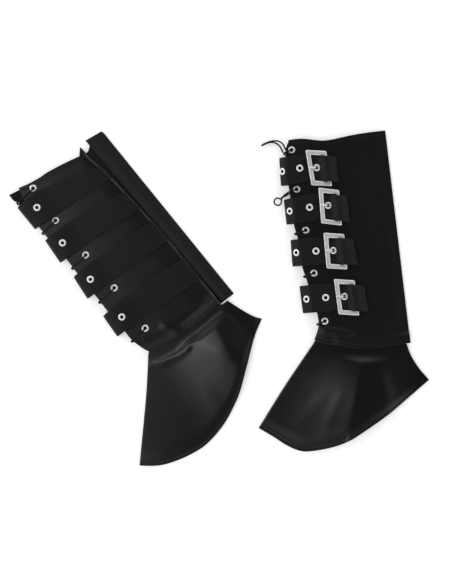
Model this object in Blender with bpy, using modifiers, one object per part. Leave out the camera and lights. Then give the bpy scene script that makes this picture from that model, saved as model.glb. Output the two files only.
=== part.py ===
# A pair of strapped boot covers in black imitation leather, laid flat side by side.
# The left-leg cover shows its outer side with four fastened buckles, the right-leg cover its inner side.
# Every size is in millimetres and the meshes are written in metres, +Z up.
# A cover has its own flat frame: "front" runs from its straight back edge towards the toe,
# "height" runs up the shaft from its lower back corner, and z rises from the surface it lies on.

import functools
import math

import bmesh
import bpy
import numpy as np
from mathutils import Matrix, Vector

MM = 0.001

# Cloth, hardware and the clearance between touching pieces
PANEL = 1.5
STRAP = 2.2
GAP = 0.3
FLOOR_STRAP = STRAP / 2
LACE = 2.2
LIFT = LACE + GAP + 0.1
LACE_GAP = 3.2
EYELET_OUTER = 4.85
EYELET_INNER = 2.4
EYELET_BARREL = 2.8
EYELET_HOLE = 3.1
EYELET_RISE = 1.1

# How the foot is tucked between the two shaft panels along their lower edge
TUCK_FOOT = PANEL + GAP
TUCK_TOP = 6.5

# Buckle frame: left bar, the bars across, heel bar, outer size, opening and thickness
BUCKLE = dict(height=49.0, width=29.0, thick=2.6, left=6.2, cross=6.4, heel=4.5, corner=2.2, edge=0.5)
CHAPE = 1.0
PRONG = 1.6

# How far the strap's middle lies above the panel's face, from its eyelets to its tail
RIDE_PLAIN = GAP + STRAP / 2
RIDE_EYELET = 4.4
RIDE_BAR = GAP + PRONG + GAP + STRAP / 2 + 0.1
RIDE_HEEL = 8.9
RIDE_TAIL = 4.3

SHADES = {
    "leather": ((0.012, 0.012, 0.013), 0.45, 0.0),
    "glossy_leather": ((0.014, 0.014, 0.016), 0.28, 0.0),
    "lace": ((0.008, 0.008, 0.008), 0.85, 0.0),
    "steel": ((0.62, 0.62, 0.61), 0.32, 1.0),
}

# Edges are (front, height). Across edges run from back to front, upright ones from below upwards.
LEFT = dict(
    corner=(264.54, -62.44),
    turn=6.76,
    buckled=True,
    seam_back=20.0,
    under_end=21.0,
    lower="inner",
    upper="outer",
    upper_edges=dict(
        bottom=[(0, 0.7), (30, -0.4), (55, 0), (75, 1.7), (98, 8.7), (121, 14.7), (131.8, 20.2)],
        top=[(0, 296.4), (38, 295.6), (59, 293.9), (76, 292.1), (91, 292.6), (116, 298), (134.5, 298.4)],
        back=[(0, 0.7), (0, 148), (0, 296.4)],
        front=[(131.8, 20.2), (124.1, 38), (123.5, 54), (128, 80), (133, 106), (137, 126), (138.5, 165),
               (141, 182), (142, 238), (141.5, 279), (134.5, 298.4)],
    ),
    lower_edges=dict(
        bottom=[(20, 0), (55, 0), (75, 1.7), (98, 8.7), (121, 14.7), (131, 20)],
        top=[(20, 294), (59, 292), (91, 291), (116, 296), (133.5, 296.5)],
        back=[(20, 0), (20, 148), (20, 294)],
        front=[(131, 20), (123.2, 38), (122.6, 54), (127, 80), (132, 106), (136, 126), (137.5, 165),
               (140, 182), (141, 238), (140.5, 279), (133.5, 296.5)],
    ),
    foot_edges=dict(
        bottom=[(-19.8, -53.3), (13.5, -75.5), (42, -93.7), (75, -111.2), (100, -123.4), (124.3, -129.8),
                (153.2, -132), (170, -129.5), (187.1, -119.7), (202.5, -107), (220.7, -93.1)],
        top=[(9, 8.5), (55, 9), (75, 10.7), (98, 17.7), (115, 22), (125.5, 25)],
        back=[(-19.8, -53.3), (-8, -36), (1.4, -16.2), (5.5, -0.6), (9, 8.5)],
        front=[(220.7, -93.1), (177.5, -39.1), (131.7, 14.4), (125.5, 25)],
    ),
    closure=dict(back=(1.5, 1.5), front=(18.0, 18.0), low=36.0, high=(290.0, 290.0)),
    # Each strap: where it turns round the front, where it passes under the buckle's left bar, its tail
    straps=[
        dict(fold=((149.5, 275.1), (151.8, 236.6)), bend=((114, 274.6), (112, 238.2)),
             end=((73.2, 267.5), (73.2, 232.2)), eyes=[(147.4, 255.8, 42), (124.2, 257.4, 0)]),
        dict(fold=((150.5, 217.2), (150.6, 182.6)), bend=((103, 221.6), (103, 184.4)),
             end=((64.2, 211.5), (64.2, 175.5)), eyes=[(144.0, 200.5, 40), (117.2, 202.4, 0)]),
        dict(fold=((147.8, 161.2), (149.2, 124.2)), bend=((103.5, 160), (103.5, 122)),
             end=((62.5, 152), (60.5, 115.8)), eyes=[(141.8, 142.7, 38), (115.6, 141.6, 0)]),
        dict(fold=((143, 96.5), (142.6, 58.5)), bend=((96, 95.5), (95, 57)),
             end=((55.3, 86.5), (53.4, 50.2)), eyes=[(135.5, 77.6, 36), (109.8, 76.6, 0)]),
    ],
    # Each buckle: middle of its left bar's outer edge, lean of that bar and slope of the bars across it
    buckles=[
        dict(spot=(112.5, 256.6), lean=3.0, slope=-9.0),
        dict(spot=(103.0, 203.2), lean=-2.0, slope=-13.0),
        dict(spot=(103.2, 140.9), lean=-1.5, slope=-10.0),
        dict(spot=(95.4, 76.2), lean=1.0, slope=-10.5),
    ],
    # Lacing eyelets on the upper panel
    lacing=[
        dict(eye=(132.0, 284.0)),
        dict(eye=(131.5, 229.5)),
        dict(eye=(125.8, 172.0)),
        dict(eye=(121.5, 112.0)),
        dict(eye=(114.4, 44.5)),
    ],
    loop=dict(row=1, centre=(159.3, 215.6), radius=5.0),
)

RIGHT = dict(
    corner=(20.54, 6.16),
    turn=37.86,
    buckled=False,
    under_end=62.0,
    lower="outer",
    upper="inner",
    upper_edges=dict(
        bottom=[(22.6, 1.1), (50, -1.5), (73, -2.1), (112.5, 1.1), (137, 5.3), (142, 9)],
        top=[(43.5, 279.5), (54, 281.2), (76, 286), (100, 290), (113, 290.8), (130, 293.4), (145.2, 297.3)],
        back=[(22.6, 1.1), (24, 60), (25.5, 114), (29.5, 172), (35.2, 230), (39.5, 256), (43.5, 279.5)],
        front=[(142, 9), (146.5, 20), (150.8, 38), (151, 52), (152.6, 91), (152.6, 117), (153.6, 158),
               (153.4, 180), (156, 225), (153.5, 262), (145.2, 297.3)],
    ),
    lower_edges=dict(
        bottom=[(0, 0), (22, 0), (50, -1.5), (73, -2.1), (112.5, 1.1), (137, 5.3), (141, 9)],
        top=[(5.8, 287), (30, 284.5), (40, 279), (60, 279.5), (100, 287), (145, 295), (162, 298.4)],
        back=[(0, 0), (2.8, 140), (5.8, 287)],
        front=[(141, 9), (145.5, 20), (149.8, 38), (150, 52), (151.6, 91), (151.6, 117), (152.6, 158),
               (152.6, 180), (154.6, 225), (156.6, 262), (157.0, 279), (161.6, 288), (162, 298.4)],
    ),
    foot_edges=dict(
        bottom=[(-9.3, -51.1), (14.7, -65), (46.2, -89.1), (76.6, -112.1), (95.5, -122.7), (115.4, -131.8),
                (136.7, -138), (156.5, -141.1), (172.6, -140.6), (195.1, -136.4), (218.8, -128.6),
                (233.5, -120.3), (247.6, -109)],
        top=[(13.1, -1.8), (23, -1.2), (31, 4.5), (73, 6), (112.5, 9), (125, 11), (133, 13)],
        back=[(-9.3, -51.1), (-2, -40.9), (5.5, -23.3), (13.1, -1.8)],
        front=[(247.6, -109), (183.8, -41.5), (151, -4), (143, 5.5), (133, 13)],
    ),
    closure=dict(back=(0.8, 6.6), front=(20.0, 32.5), low=1.5, high=(289.6, 293.0)),
    straps=[
        dict(fold=((162.8, 277), (161.8, 238.5)), bend=((125.8, 278.3), (124.5, 236)),
             end=((39.8, 253.5), (35.8, 230.4)), eyes=[(141.2, 259.5, 3)]),
        dict(fold=((160.3, 217.6), (162.7, 180.4)), bend=((113, 217.3), (112, 177.3)),
             end=((33.2, 204.0), (30.2, 172.6)), eyes=[(143.3, 199.6, 3)]),
        dict(fold=((160.3, 153.8), (163.6, 118.1)), bend=((120, 154.4), (120, 117.0)),
             end=((28.4, 149), (26.4, 114.2)), eyes=[(143.8, 136.6, 3)]),
        dict(fold=((161.3, 86.2), (163, 51.6)), bend=((125, 88.5), (124, 50.0)),
             end=((25.6, 82.2), (24.4, 44.0)), eyes=[(141.5, 69.3, 3)]),
    ],
    buckles=[],
    lacing=[
        dict(eye=(129.4, 284.5)),
        dict(eye=(132.3, 230.5)),
        dict(eye=(128.7, 167.5)),
        dict(eye=(125.4, 107.5)),
        dict(eye=(125.9, 37.5)),
    ],
    loop=None,
)

COVERS = {"left": LEFT, "right": RIGHT}

# The left lace's two free ends lie one on the other: route points (front, height, z)
FREE_ENDS = {
    "left_lace_end_a": [(144.2, 282.2, 5.4), (146.2, 288.5, 3.4), (149.0, 293.8, 1.8), (154.0, 297.6, 1.3),
                        (160.0, 298.6, 1.3), (166.6, 297.4, 1.3), (173.0, 295.4, 1.3)],
    "left_lace_end_b": [(139.2, 283.85, 11.0), (141.4, 288.4, 10.3), (143.0, 293.4, 7.6),
                        (146.6, 297.6, 5.2), (152.0, 299.6, 4.2), (159.4, 299.6, 4.1),
                        (166.0, 298.0, 4.1), (171.4, 296.2, 4.1)],
}


def ease(low, high, x):
    # 0 below low, 1 above high, a smooth cubic between
    share = np.clip((np.asarray(x, float) - low) / (high - low), 0.0, 1.0)
    return share * share * (3.0 - 2.0 * share)


def along(points, share):
    # A point at each share of the length of a smooth curve through the given points
    dense, length = measured_curve(tuple(points))
    share = np.atleast_1d(share)
    return np.stack([np.interp(share, length, dense[:, k]) for k in range(dense.shape[1])], axis=-1)


@functools.lru_cache(maxsize=None)
def measured_curve(points):
    dense = smooth_route(points, 12)
    steps = np.linalg.norm(np.diff(dense, axis=0), axis=1)
    length = np.concatenate([[0.0], np.cumsum(steps)])
    return dense, length / length[-1]


def smooth_route(points, parts):
    # Catmull-Rom curve with the given number of parts in each span
    p = np.asarray(points, float)
    ends = np.vstack([2 * p[0] - p[1], p, 2 * p[-1] - p[-2]])
    rows = []
    for i in range(1, len(ends) - 2):
        a, b, c, d = ends[i - 1:i + 3]
        for t in np.arange(parts) / parts:
            rows.append(0.5 * (2 * b + (c - a) * t + (2 * a - 5 * b + 4 * c - d) * t ** 2
                               + (3 * b - a - 3 * c + d) * t ** 3))
    rows.append(p[-1])
    return np.array(rows)


def patch(edges, s, t):
    # Coons patch: s runs from the back edge to the front edge, t from the lower edge to the upper one
    bottom = along(edges["bottom"], s)[0]
    top = along(edges["top"], s)[0]
    back = along(edges["back"], t)[0]
    front = along(edges["front"], t)[0]
    corners = [np.array(edges["bottom"][0]), np.array(edges["bottom"][-1]),
               np.array(edges["top"][0]), np.array(edges["top"][-1])]
    flat = ((1 - s) * (1 - t) * corners[0] + s * (1 - t) * corners[1]
            + (1 - s) * t * corners[2] + s * t * corners[3])
    return (1 - s) * back + s * front + (1 - t) * bottom + t * top - flat


def hem_height(cover, front):
    # Height of the shaft's lower edge at a place from back to front
    points = np.array(cover["upper_edges"]["bottom"])
    return np.interp(front, points[:, 0], points[:, 1])


def front_edge(cover, height):
    # How far forward the panels reach at a height
    reach = []
    for which in ("upper", "lower"):
        dense = measured_curve(tuple(cover[which + "_edges"]["front"]))[0]
        reach.append(float(np.interp(height, dense[:, 1], dense[:, 0])))
    return max(reach)


def lower_z(cover, front, height):
    # Middle of the lower shaft panel: on the surface at its lower edge, over the straps above that
    raised = ease(10.5, 21.5, height - hem_height(cover, front))
    if not cover["buckled"]:
        raised = raised * ease(24, 58, front)
    return PANEL / 2 + LIFT * raised


def upper_z(cover, front, height):
    # Middle of the upper shaft panel: on the lower one at the back, a lace's room above it in front
    above_hem = height - hem_height(cover, front)
    room = GAP + 0.1 + (LACE_GAP - GAP - 0.1) * ease(30, 118, front)
    shaft = lower_z(cover, front, height) + PANEL + room
    if cover["buckled"]:
        shaft = shaft - 2.3 * (1 - ease(0, cover["seam_back"], front))
    return TUCK_TOP + (shaft - TUCK_TOP) * ease(9, 22, above_hem)


def face_z(cover, front, height):
    # The upper panel's outer face
    return upper_z(cover, front, height) + PANEL / 2


def foot_z(cover, s, t, front, height):
    # Middles of the foot's lower and upper layers, which part gently towards their middle
    tucked = ease(-22, -5, height - hem_height(cover, front))
    low = PANEL / 2 + TUCK_FOOT * tucked
    swell = math.sin(math.pi * min(1.0, s * 1.02)) * math.sin(math.pi * t) ** 0.8
    return low, low + PANEL + 0.5 + 3.0 * swell * (1 - float(tucked))


def collection(name):
    made = bpy.data.collections.new(name)
    bpy.context.scene.collection.children.link(made)
    return made


def material(name):
    colour, rough, metal = SHADES[name]
    made = bpy.data.materials.get(name)
    if made:
        return made
    made = bpy.data.materials.new(name)
    made.use_nodes = True
    surface = made.node_tree.nodes["Principled BSDF"]
    surface.inputs["Base Color"].default_value = (*colour, 1.0)
    surface.inputs["Roughness"].default_value = rough
    surface.inputs["Metallic"].default_value = metal
    return made


def to_frame(point):
    # (front, height, z) in millimetres to a cover's x, y, z in metres
    return Vector((-point[0], point[1], point[2])) * MM


def add_object(name, mesh, kit, shade):
    made = bpy.data.objects.new(name, mesh)
    kit["parts"].objects.link(made)
    made.parent = kit["place"]
    mesh.materials.append(material(shade))
    return made


def mesh_of(name, bm):
    bmesh.ops.recalc_face_normals(bm, faces=bm.faces)
    mesh = bpy.data.meshes.new(name)
    bm.to_mesh(mesh)
    bm.free()
    return mesh


def grid(name, columns, rows, spot, kit, shade, wall):
    # An open surface of columns by rows points, each placed by spot(column, row), thickened to a wall
    bm = bmesh.new()
    bmesh.ops.create_grid(bm, x_segments=columns - 1, y_segments=rows - 1, size=0.5)
    for vert in bm.verts:
        i = round((vert.co.x + 0.5) * (columns - 1))
        j = round((vert.co.y + 0.5) * (rows - 1))
        vert.co = to_frame(spot(i, j))
    made = add_object(name, mesh_of(name, bm), kit, shade)
    thick = made.modifiers.new("wall", "SOLIDIFY")
    thick.thickness = wall * MM
    thick.offset = 0.0
    thick.use_even_offset = True
    return made


def cut(made, spots, radius, kit):
    # Round holes through a piece: each spot is (centre, direction) in the cover's frame
    bm = bmesh.new()
    for centre, direction in spots:
        turn = Vector((0, 0, 1)).rotation_difference(direction).to_matrix().to_4x4()
        bmesh.ops.create_cone(bm, cap_ends=True, segments=12, radius1=radius * MM, radius2=radius * MM,
                              depth=8 * MM, matrix=Matrix.Translation(centre) @ turn)
    mesh = mesh_of(made.name + "_cutter", bm)
    cutter = bpy.data.objects.new(made.name + "_cutter", mesh)
    kit["cutters"].objects.link(cutter)
    cutter.parent = kit["place"]
    cutter.hide_render = True
    cutter.display_type = "WIRE"
    holes = made.modifiers.new("holes", "BOOLEAN")
    holes.operation = "DIFFERENCE"
    holes.solver = "EXACT"
    holes.object = cutter


def eyelet(name, centre, direction, sunk, kit):
    # A turned metal ring: a rounded flange on the cloth's face and a barrel down into its hole
    profile = [(EYELET_INNER, EYELET_RISE - 0.3), (EYELET_INNER + 1.1, EYELET_RISE),
               (EYELET_OUTER, GAP + 0.1), (EYELET_BARREL, GAP),
               (EYELET_BARREL, -sunk), (EYELET_INNER, -sunk)]
    bm = bmesh.new()
    ring = [bm.verts.new((r * MM, 0, z * MM)) for r, z in profile]
    for a, b in zip(ring, ring[1:] + ring[:1]):
        bm.edges.new((a, b))
    mesh = bpy.data.meshes.new(name)
    bm.to_mesh(mesh)
    bm.free()
    made = add_object(name, mesh, kit, "steel")
    made.location = centre
    made.rotation_mode = "QUATERNION"
    made.rotation_quaternion = Vector((0, 0, 1)).rotation_difference(direction)
    screw = made.modifiers.new("turned", "SCREW")
    screw.steps = 11
    screw.render_steps = 11
    screw.use_merge_vertices = True
    screw.merge_threshold = 0.00001
    return made


def tube(name, points, width, kit, shade):
    # A round cord or rod through the given points, with closed ends
    curve = bpy.data.curves.new(name, "CURVE")
    curve.dimensions = "3D"
    curve.bevel_depth = width / 2 * MM
    curve.bevel_resolution = 2
    curve.use_fill_caps = True
    spline = curve.splines.new("POLY")
    spline.points.add(len(points) - 1)
    for knot, point in zip(spline.points, points):
        knot.co = (*to_frame(point), 1.0)
    return add_object(name, curve, kit, shade)


def shaft_panel(side, cover, which, kit):
    name = f"{side}_shaft_{cover[which]}"
    edges = cover[which + "_edges"]
    level = upper_z if which == "upper" else lower_z

    def spot(i, j):
        front, height = patch(edges, i / (columns - 1), shares[j])
        return front, height, float(level(cover, front, height))

    # Rows lie closer together where the panel climbs from its lower edge
    shares = np.concatenate([np.linspace(0, 0.13, 9)[:-1], np.linspace(0.13, 1, 14)])
    columns, rows = 8, len(shares)
    made = grid(name, columns, rows, spot, kit, "leather", PANEL)
    holes = []
    for row in cover["lacing"]:
        front, height = row["eye"]
        if which == "lower":
            height = height - 5.0
        holes.append((to_frame((front, height, float(level(cover, front, height)))), Vector((0, 0, 1))))
    cut(made, holes, EYELET_HOLE, kit)
    return made


def foot(side, cover, kit):
    # One wall folded along its straight front edge: lower layer, fold, upper layer
    bends = 5
    wide = 6
    columns = 2 * wide + bends
    rows = 13
    edges = cover["foot_edges"]
    radius = (PANEL + 0.5) / 2

    def spot(i, j):
        t = j / (rows - 1)
        upper = i > columns // 2
        inward = abs(i - columns // 2)
        front, height = patch(edges, 1.0, t)
        ahead, below = patch(edges, 1.0, min(1.0, t + 0.02)) - patch(edges, 1.0, max(0.0, t - 0.02))
        if inward <= bends // 2:
            angle = math.pi / 2 * inward / (bends // 2)
            low, high = foot_z(cover, 1.0, t, front, height)
            back = radius * (1 - math.cos(angle)) + PANEL / 2
            rise = 0.96 * radius * math.sin(angle) * (1 if upper else -1)
            length = math.hypot(ahead, below)
            return (front + below / length * back, height - ahead / length * back,
                    (low + high) / 2 + rise)
        step = (inward - bends // 2) / wide
        s = 1.0 - (0.028 + 0.972 * step)
        front, height = patch(edges, s, t)
        low, high = foot_z(cover, s, t, front, height)
        return front, height, high if upper else low

    return grid(f"{side}_foot", columns, rows, spot, kit, "glossy_leather", PANEL)


def closure(side, cover, kit):
    # The hook-and-loop strip along the outer panel's back edge
    size = cover["closure"]
    columns, rows = 3, 14

    def spot(i, j):
        s, t = i / (columns - 1), j / (rows - 1)
        back = size["back"][0] + (size["back"][1] - size["back"][0]) * t
        front = size["front"][0] + (size["front"][1] - size["front"][0]) * t
        place = back + (front - back) * s
        high = size["high"][0] + (size["high"][1] - size["high"][0]) * s
        height = size["low"] + (high - size["low"]) * t
        if cover["buckled"]:
            z = upper_z(cover, place, height) - PANEL - 2 * GAP
        else:
            z = lower_z(cover, place, height) + PANEL + GAP
        return place, height, float(z)

    return grid(f"{side}_closure", columns, rows, spot, kit, "leather", PANEL)


def strap_place(strap, reach, across):
    # (front, height) at a distance back from the fold, and across from the strap's upper edge to its lower
    names = ["fold", "bend", "end"]
    middle = [(strap[n][0][0] + strap[n][1][0]) / 2 for n in names]
    front = middle[0] - reach
    share = np.interp(front, middle[::-1], [2.0, 1.0, 0.0])
    edge = [np.array([np.interp(share, [0, 1, 2], [strap[n][k][a] for n in names]) for a in (0, 1)])
            for k in (0, 1)]
    return edge[0] * (1 - across) + edge[1] * across


def strap_profile(cover, strap, buckle):
    # Rows of (side, reach, z or ride): below and round the fold z is measured from the surface,
    # along the top it is how far the strap's middle rides above the panel's face
    fold = (strap["fold"][0][0] + strap["fold"][1][0]) / 2
    under = fold - cover["under_end"]
    rows = [("under", under * k, FLOOR_STRAP) for k in (1.0, 0.75, 0.5, 0.25)]
    rows += [("under", 7.0, FLOOR_STRAP), ("under", 3.2, FLOOR_STRAP + 0.7),
             ("under", 0.9, FLOOR_STRAP + 2.6)]
    if cover["buckled"]:
        front, height, tilt = strap["eyes"][0]
        slant = math.radians(tilt)
        reach = fold - front
        half = 5.3
        top = 15.4
        rows.append(("under", 0.0, FLOOR_STRAP + 4.6))
        rows.append(("loop", max(0.2, reach - half * math.cos(slant)), top - 2 * half * math.sin(slant)))
        rows.append(("loop", reach + half * math.cos(slant), top))
        second = fold - strap["eyes"][1][0]
        bar = fold - buckle["spot"][0]
        rows.append(("top", second - half, RIDE_EYELET))
        rows.append(("top", second + half, RIDE_EYELET - 0.5))
        rows.append(("top", bar - 1.2, RIDE_BAR))
        rows.append(("top", bar + BUCKLE["left"] - 0.2, RIDE_BAR))
        rows.append(("top", bar + BUCKLE["left"] + 10.8, RIDE_BAR))
        heel = bar + BUCKLE["width"] - BUCKLE["heel"] / 2
        rows.append(("top", heel - 4.0, RIDE_HEEL))
        rows.append(("top", heel + 2.4, RIDE_HEEL))
        last = fold - (strap["end"][0][0] + strap["end"][1][0]) / 2
        rows.append(("top", max(heel + 7.5, last - 5), RIDE_TAIL + 0.4))
        rows.append(("top", last, RIDE_TAIL))
        return rows
    reach = fold - strap["eyes"][0][0]
    last = fold - (strap["end"][0][0] + strap["end"][1][0]) / 2
    rows += [("under", 0.0, FLOOR_STRAP + 4.8), ("loop", 1.2, 9.6), ("loop", 4.6, 12.6),
             ("loop", 9.4, 14.0), ("loop", reach - 5.4, 14.3), ("loop", reach + 5.4, 13.7)]
    rows += [("top", reach + 13, 3.6), ("top", reach + 24, RIDE_PLAIN + 0.3)]
    rest = np.linspace(reach + 36, last, 6)
    rows += [("top", float(r), RIDE_PLAIN) for r in rest]
    return rows


def strap_point(cover, strap, row, across):
    side, reach, z = row
    front, height = strap_place(strap, reach, across)
    if side == "under":
        fold = [np.array(p, float) for p in strap["fold"]]
        corner = fold[0] * (1 - across) + fold[1] * across
        front, height = corner[0] - reach, corner[1]
    if side == "top":
        z = z + float(face_z(cover, front, height))
    return float(front), float(height), float(z)


def strap_piece(side, number, cover, kit):
    strap = cover["straps"][number]
    buckle = cover["buckles"][number] if cover["buckled"] else None
    profile = strap_profile(cover, strap, buckle)
    columns, rows = len(profile), 3
    waist = strap_waist(profile, strap, buckle)

    def spot(i, j):
        across = j / (rows - 1)
        return strap_point(cover, strap, profile[i], 0.5 + (across - 0.5) * waist[i])

    made = grid(f"{side}_strap_{number + 1}", columns, rows, spot, kit, "leather", STRAP)
    eyes = strap_eyes(cover, strap, buckle, profile)
    holes = [(centre, direction) for centre, direction, sunk in eyes]
    cut(made, holes, EYELET_HOLE, kit)
    for k, (centre, direction, sunk) in enumerate(eyes):
        face = centre + direction * (STRAP / 2 * MM)
        eyelet(f"{side}_eyelet_{number + 1}_{k + 1}", face, direction, sunk, kit)
    return made


def strap_waist(profile, strap, buckle):
    # Inside the buckle's opening the strap is narrowed so that it passes between the bars across
    widths = []
    for side, reach, z in profile:
        if buckle is None or side != "top":
            widths.append(1.0)
            continue
        fold = (strap["fold"][0][0] + strap["fold"][1][0]) / 2
        bar = fold - buckle["spot"][0]
        full = np.linalg.norm(strap_place(strap, reach, 0.0) - strap_place(strap, reach, 1.0))
        inside = bar + BUCKLE["left"] - 1 < reach < bar + BUCKLE["width"] - 3
        room = BUCKLE["height"] - 2 * BUCKLE["cross"] - 2.6
        widths.append(min(1.0, room / full) if inside else 1.0)
    return widths


def strap_eyes(cover, strap, buckle, profile):
    # Centres on the strap's middle and outward directions of its eyelets
    spots = [(front, height) for front, height, tilt in strap["eyes"]]
    if buckle:
        front, height = buckle["spot"]
        spots.append((front - BUCKLE["left"] - 5.3, height - 1.2))
    found = []
    for front, height in spots:
        fold = (strap["fold"][0][0] + strap["fold"][1][0]) / 2
        reach = fold - front
        upper = [row for row in profile if row[0] != "under"]
        spans = list(zip(upper, upper[1:]))
        span = next(pair for pair in spans if pair[0][1] <= reach <= pair[1][1])
        ends = [np.array(strap_point(cover, strap, row, 0.5)) for row in span]
        share = (reach - span[0][1]) / (span[1][1] - span[0][1])
        middle = ends[0] * (1 - share) + ends[1] * share
        along_strap = to_frame(ends[1]) - to_frame(ends[0])
        sides = [to_frame(strap_point(cover, strap, span[0], k)) for k in (0.0, 1.0)]
        normal = along_strap.cross(sides[1] - sides[0]).normalized()
        if normal.z < 0:
            normal = -normal
        found.append((to_frame((middle[0], height, middle[2])), normal, STRAP - 0.3))
    return found


def buckle_frame(buckle):
    # Unit directions in the cover's flat frame: along the left bar upwards and along the bars backwards
    lean, slope = math.radians(buckle["lean"]), math.radians(buckle["slope"])
    up = np.array([math.sin(lean), math.cos(lean)])
    back = np.array([-math.cos(slope), math.sin(slope)])
    return up, back


def rounded(corners, radius, parts):
    # A closed outline with each corner turned by a short arc
    ring = []
    count = len(corners)
    for i, corner in enumerate(corners):
        here = np.array(corner)
        before = np.array(corners[i - 1]) - here
        after = np.array(corners[(i + 1) % count]) - here
        start = here + before / np.linalg.norm(before) * radius
        stop = here + after / np.linalg.norm(after) * radius
        for t in np.linspace(0, 1, parts):
            ring.append((1 - t) ** 2 * start + 2 * t * (1 - t) * here + t * t * stop)
    return ring


def buckle_levels(cover, buckle):
    # z of the left bar's and the heel bar's middle
    up, back = buckle_frame(buckle)
    left = np.array(buckle["spot"]) + back * BUCKLE["left"] / 2
    heel = np.array(buckle["spot"]) + back * (BUCKLE["width"] - BUCKLE["heel"] / 2)
    high = float(face_z(cover, *left)) + RIDE_BAR + STRAP / 2 + GAP + BUCKLE["thick"] / 2 + 0.65
    low = float(face_z(cover, *heel)) + GAP + PRONG + GAP + BUCKLE["thick"] / 2 + 0.5
    return high, low, left, heel


def buckle_piece(side, number, cover, kit):
    # The flat frame is drawn as two outlines, then each point takes the height of the tilted frame
    buckle = cover["buckles"][number]
    up, back = buckle_frame(buckle)
    high, low, left, heel = buckle_levels(cover, buckle)
    half = BUCKLE["height"] / 2
    outer = [(-half, 0), (half, 0), (half, BUCKLE["width"]), (-half, BUCKLE["width"])]
    open_half = half - BUCKLE["cross"]
    start, stop = BUCKLE["left"], BUCKLE["width"] - BUCKLE["heel"]
    inner = [(-open_half, start), (open_half, start), (open_half, stop), (-open_half, stop)]
    curve = bpy.data.curves.new("frame", "CURVE")
    curve.dimensions = "2D"
    curve.fill_mode = "BOTH"
    curve.extrude = (BUCKLE["thick"] / 2 - BUCKLE["edge"]) * MM
    curve.bevel_depth = BUCKLE["edge"] * MM
    curve.bevel_resolution = 0
    for ring, radius in ((outer, BUCKLE["corner"]), (inner, 0.8)):
        shape = rounded(ring, radius, 3)
        spline = curve.splines.new("POLY")
        spline.points.add(len(shape) - 1)
        for knot, (a, b) in zip(spline.points, shape):
            spot = np.array(buckle["spot"]) + up * a + back * b
            knot.co = (-spot[0] * MM, spot[1] * MM, 0, 1)
        spline.use_cyclic_u = True
    holder = bpy.data.objects.new("frame", curve)
    kit["cutters"].objects.link(holder)
    bpy.context.view_layer.update()
    mesh = bpy.data.meshes.new_from_object(holder.evaluated_get(bpy.context.evaluated_depsgraph_get()))
    bpy.data.objects.remove(holder)
    bm = bmesh.new()
    bm.from_mesh(mesh)
    bmesh.ops.remove_doubles(bm, verts=bm.verts, dist=0.00002)
    span = np.linalg.norm(heel - left)
    for vert in bm.verts:
        flat = np.array([-vert.co.x, vert.co.y]) / MM - left
        along_bars = float(flat @ back)
        vert.co.z += (high + (low - high) * along_bars / span) * MM
    name = f"{side}_buckle_{number + 1}"
    mesh = mesh_of(name, bm)
    return add_object(name, mesh, kit, "steel")


def chape(side, number, cover, kit):
    # A short leather loop that holds the heel bar, with a slot for the prong
    buckle = cover["buckles"][number]
    up, back = buckle_frame(buckle)
    high, low, left, heel = buckle_levels(cover, buckle)
    face = float(face_z(cover, *heel))
    ride = GAP + CHAPE / 2
    round_bar = BUCKLE["thick"] / 2 + GAP + CHAPE / 2 + 0.22
    reach = BUCKLE["heel"] / 2 + 2 * GAP + CHAPE / 2 + 0.4
    tail = 11.5
    tilt = (high - low) / np.linalg.norm(heel - left)
    middle = low - face
    profile = [(tail, ride), (4.4, ride), (1.2, middle - round_bar - tilt * 2.4),
               (1.0 - reach, middle - round_bar + tilt * 1.4), (-reach, middle + tilt * reach - 1.0),
               (-reach, middle + tilt * reach + 1.0), (1.0 - reach, middle + round_bar + tilt * 2.7),
               (2.4, middle + round_bar), (4.8, middle + 0.4),
               (7.6, ride + CHAPE + GAP + 0.2), (tail, ride + CHAPE + GAP + 0.1)]
    width = BUCKLE["height"] - 2 * BUCKLE["cross"] - 3.0
    columns, rows = len(profile), 3

    def spot(i, j):
        away, rise = profile[i]
        place = heel + back * away + up * (0.5 - j / (rows - 1)) * width
        level = face_z(cover, *(heel + back * away))
        return float(place[0]), float(place[1]), float(level) * min(1.0, max(0.0, away) / 6) \
            + face * (1 - min(1.0, max(0.0, away) / 6)) + rise

    name = f"{side}_chape_{number + 1}"
    made = grid(name, columns, rows, spot, kit, "leather", CHAPE)
    bm = bmesh.new()
    bmesh.ops.create_cube(bm, size=1.0)
    slot = (PRONG + 1.4) * MM
    for vert in bm.verts:
        vert.co = Vector((vert.co.x * 11.4 * MM, vert.co.y * slot, vert.co.z * 14 * MM))
    mesh = mesh_of(name + "_cutter", bm)
    cutter = bpy.data.objects.new(name + "_cutter", mesh)
    kit["cutters"].objects.link(cutter)
    cutter.parent = kit["place"]
    cutter.location = to_frame((*(heel - back * 0.7), low))
    cutter.rotation_euler.z = math.atan2(back[1], -back[0])
    cutter.hide_render = True
    cutter.display_type = "WIRE"
    slotted = made.modifiers.new("slot", "BOOLEAN")
    slotted.operation = "DIFFERENCE"
    slotted.solver = "EXACT"
    slotted.object = cutter
    return made


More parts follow.
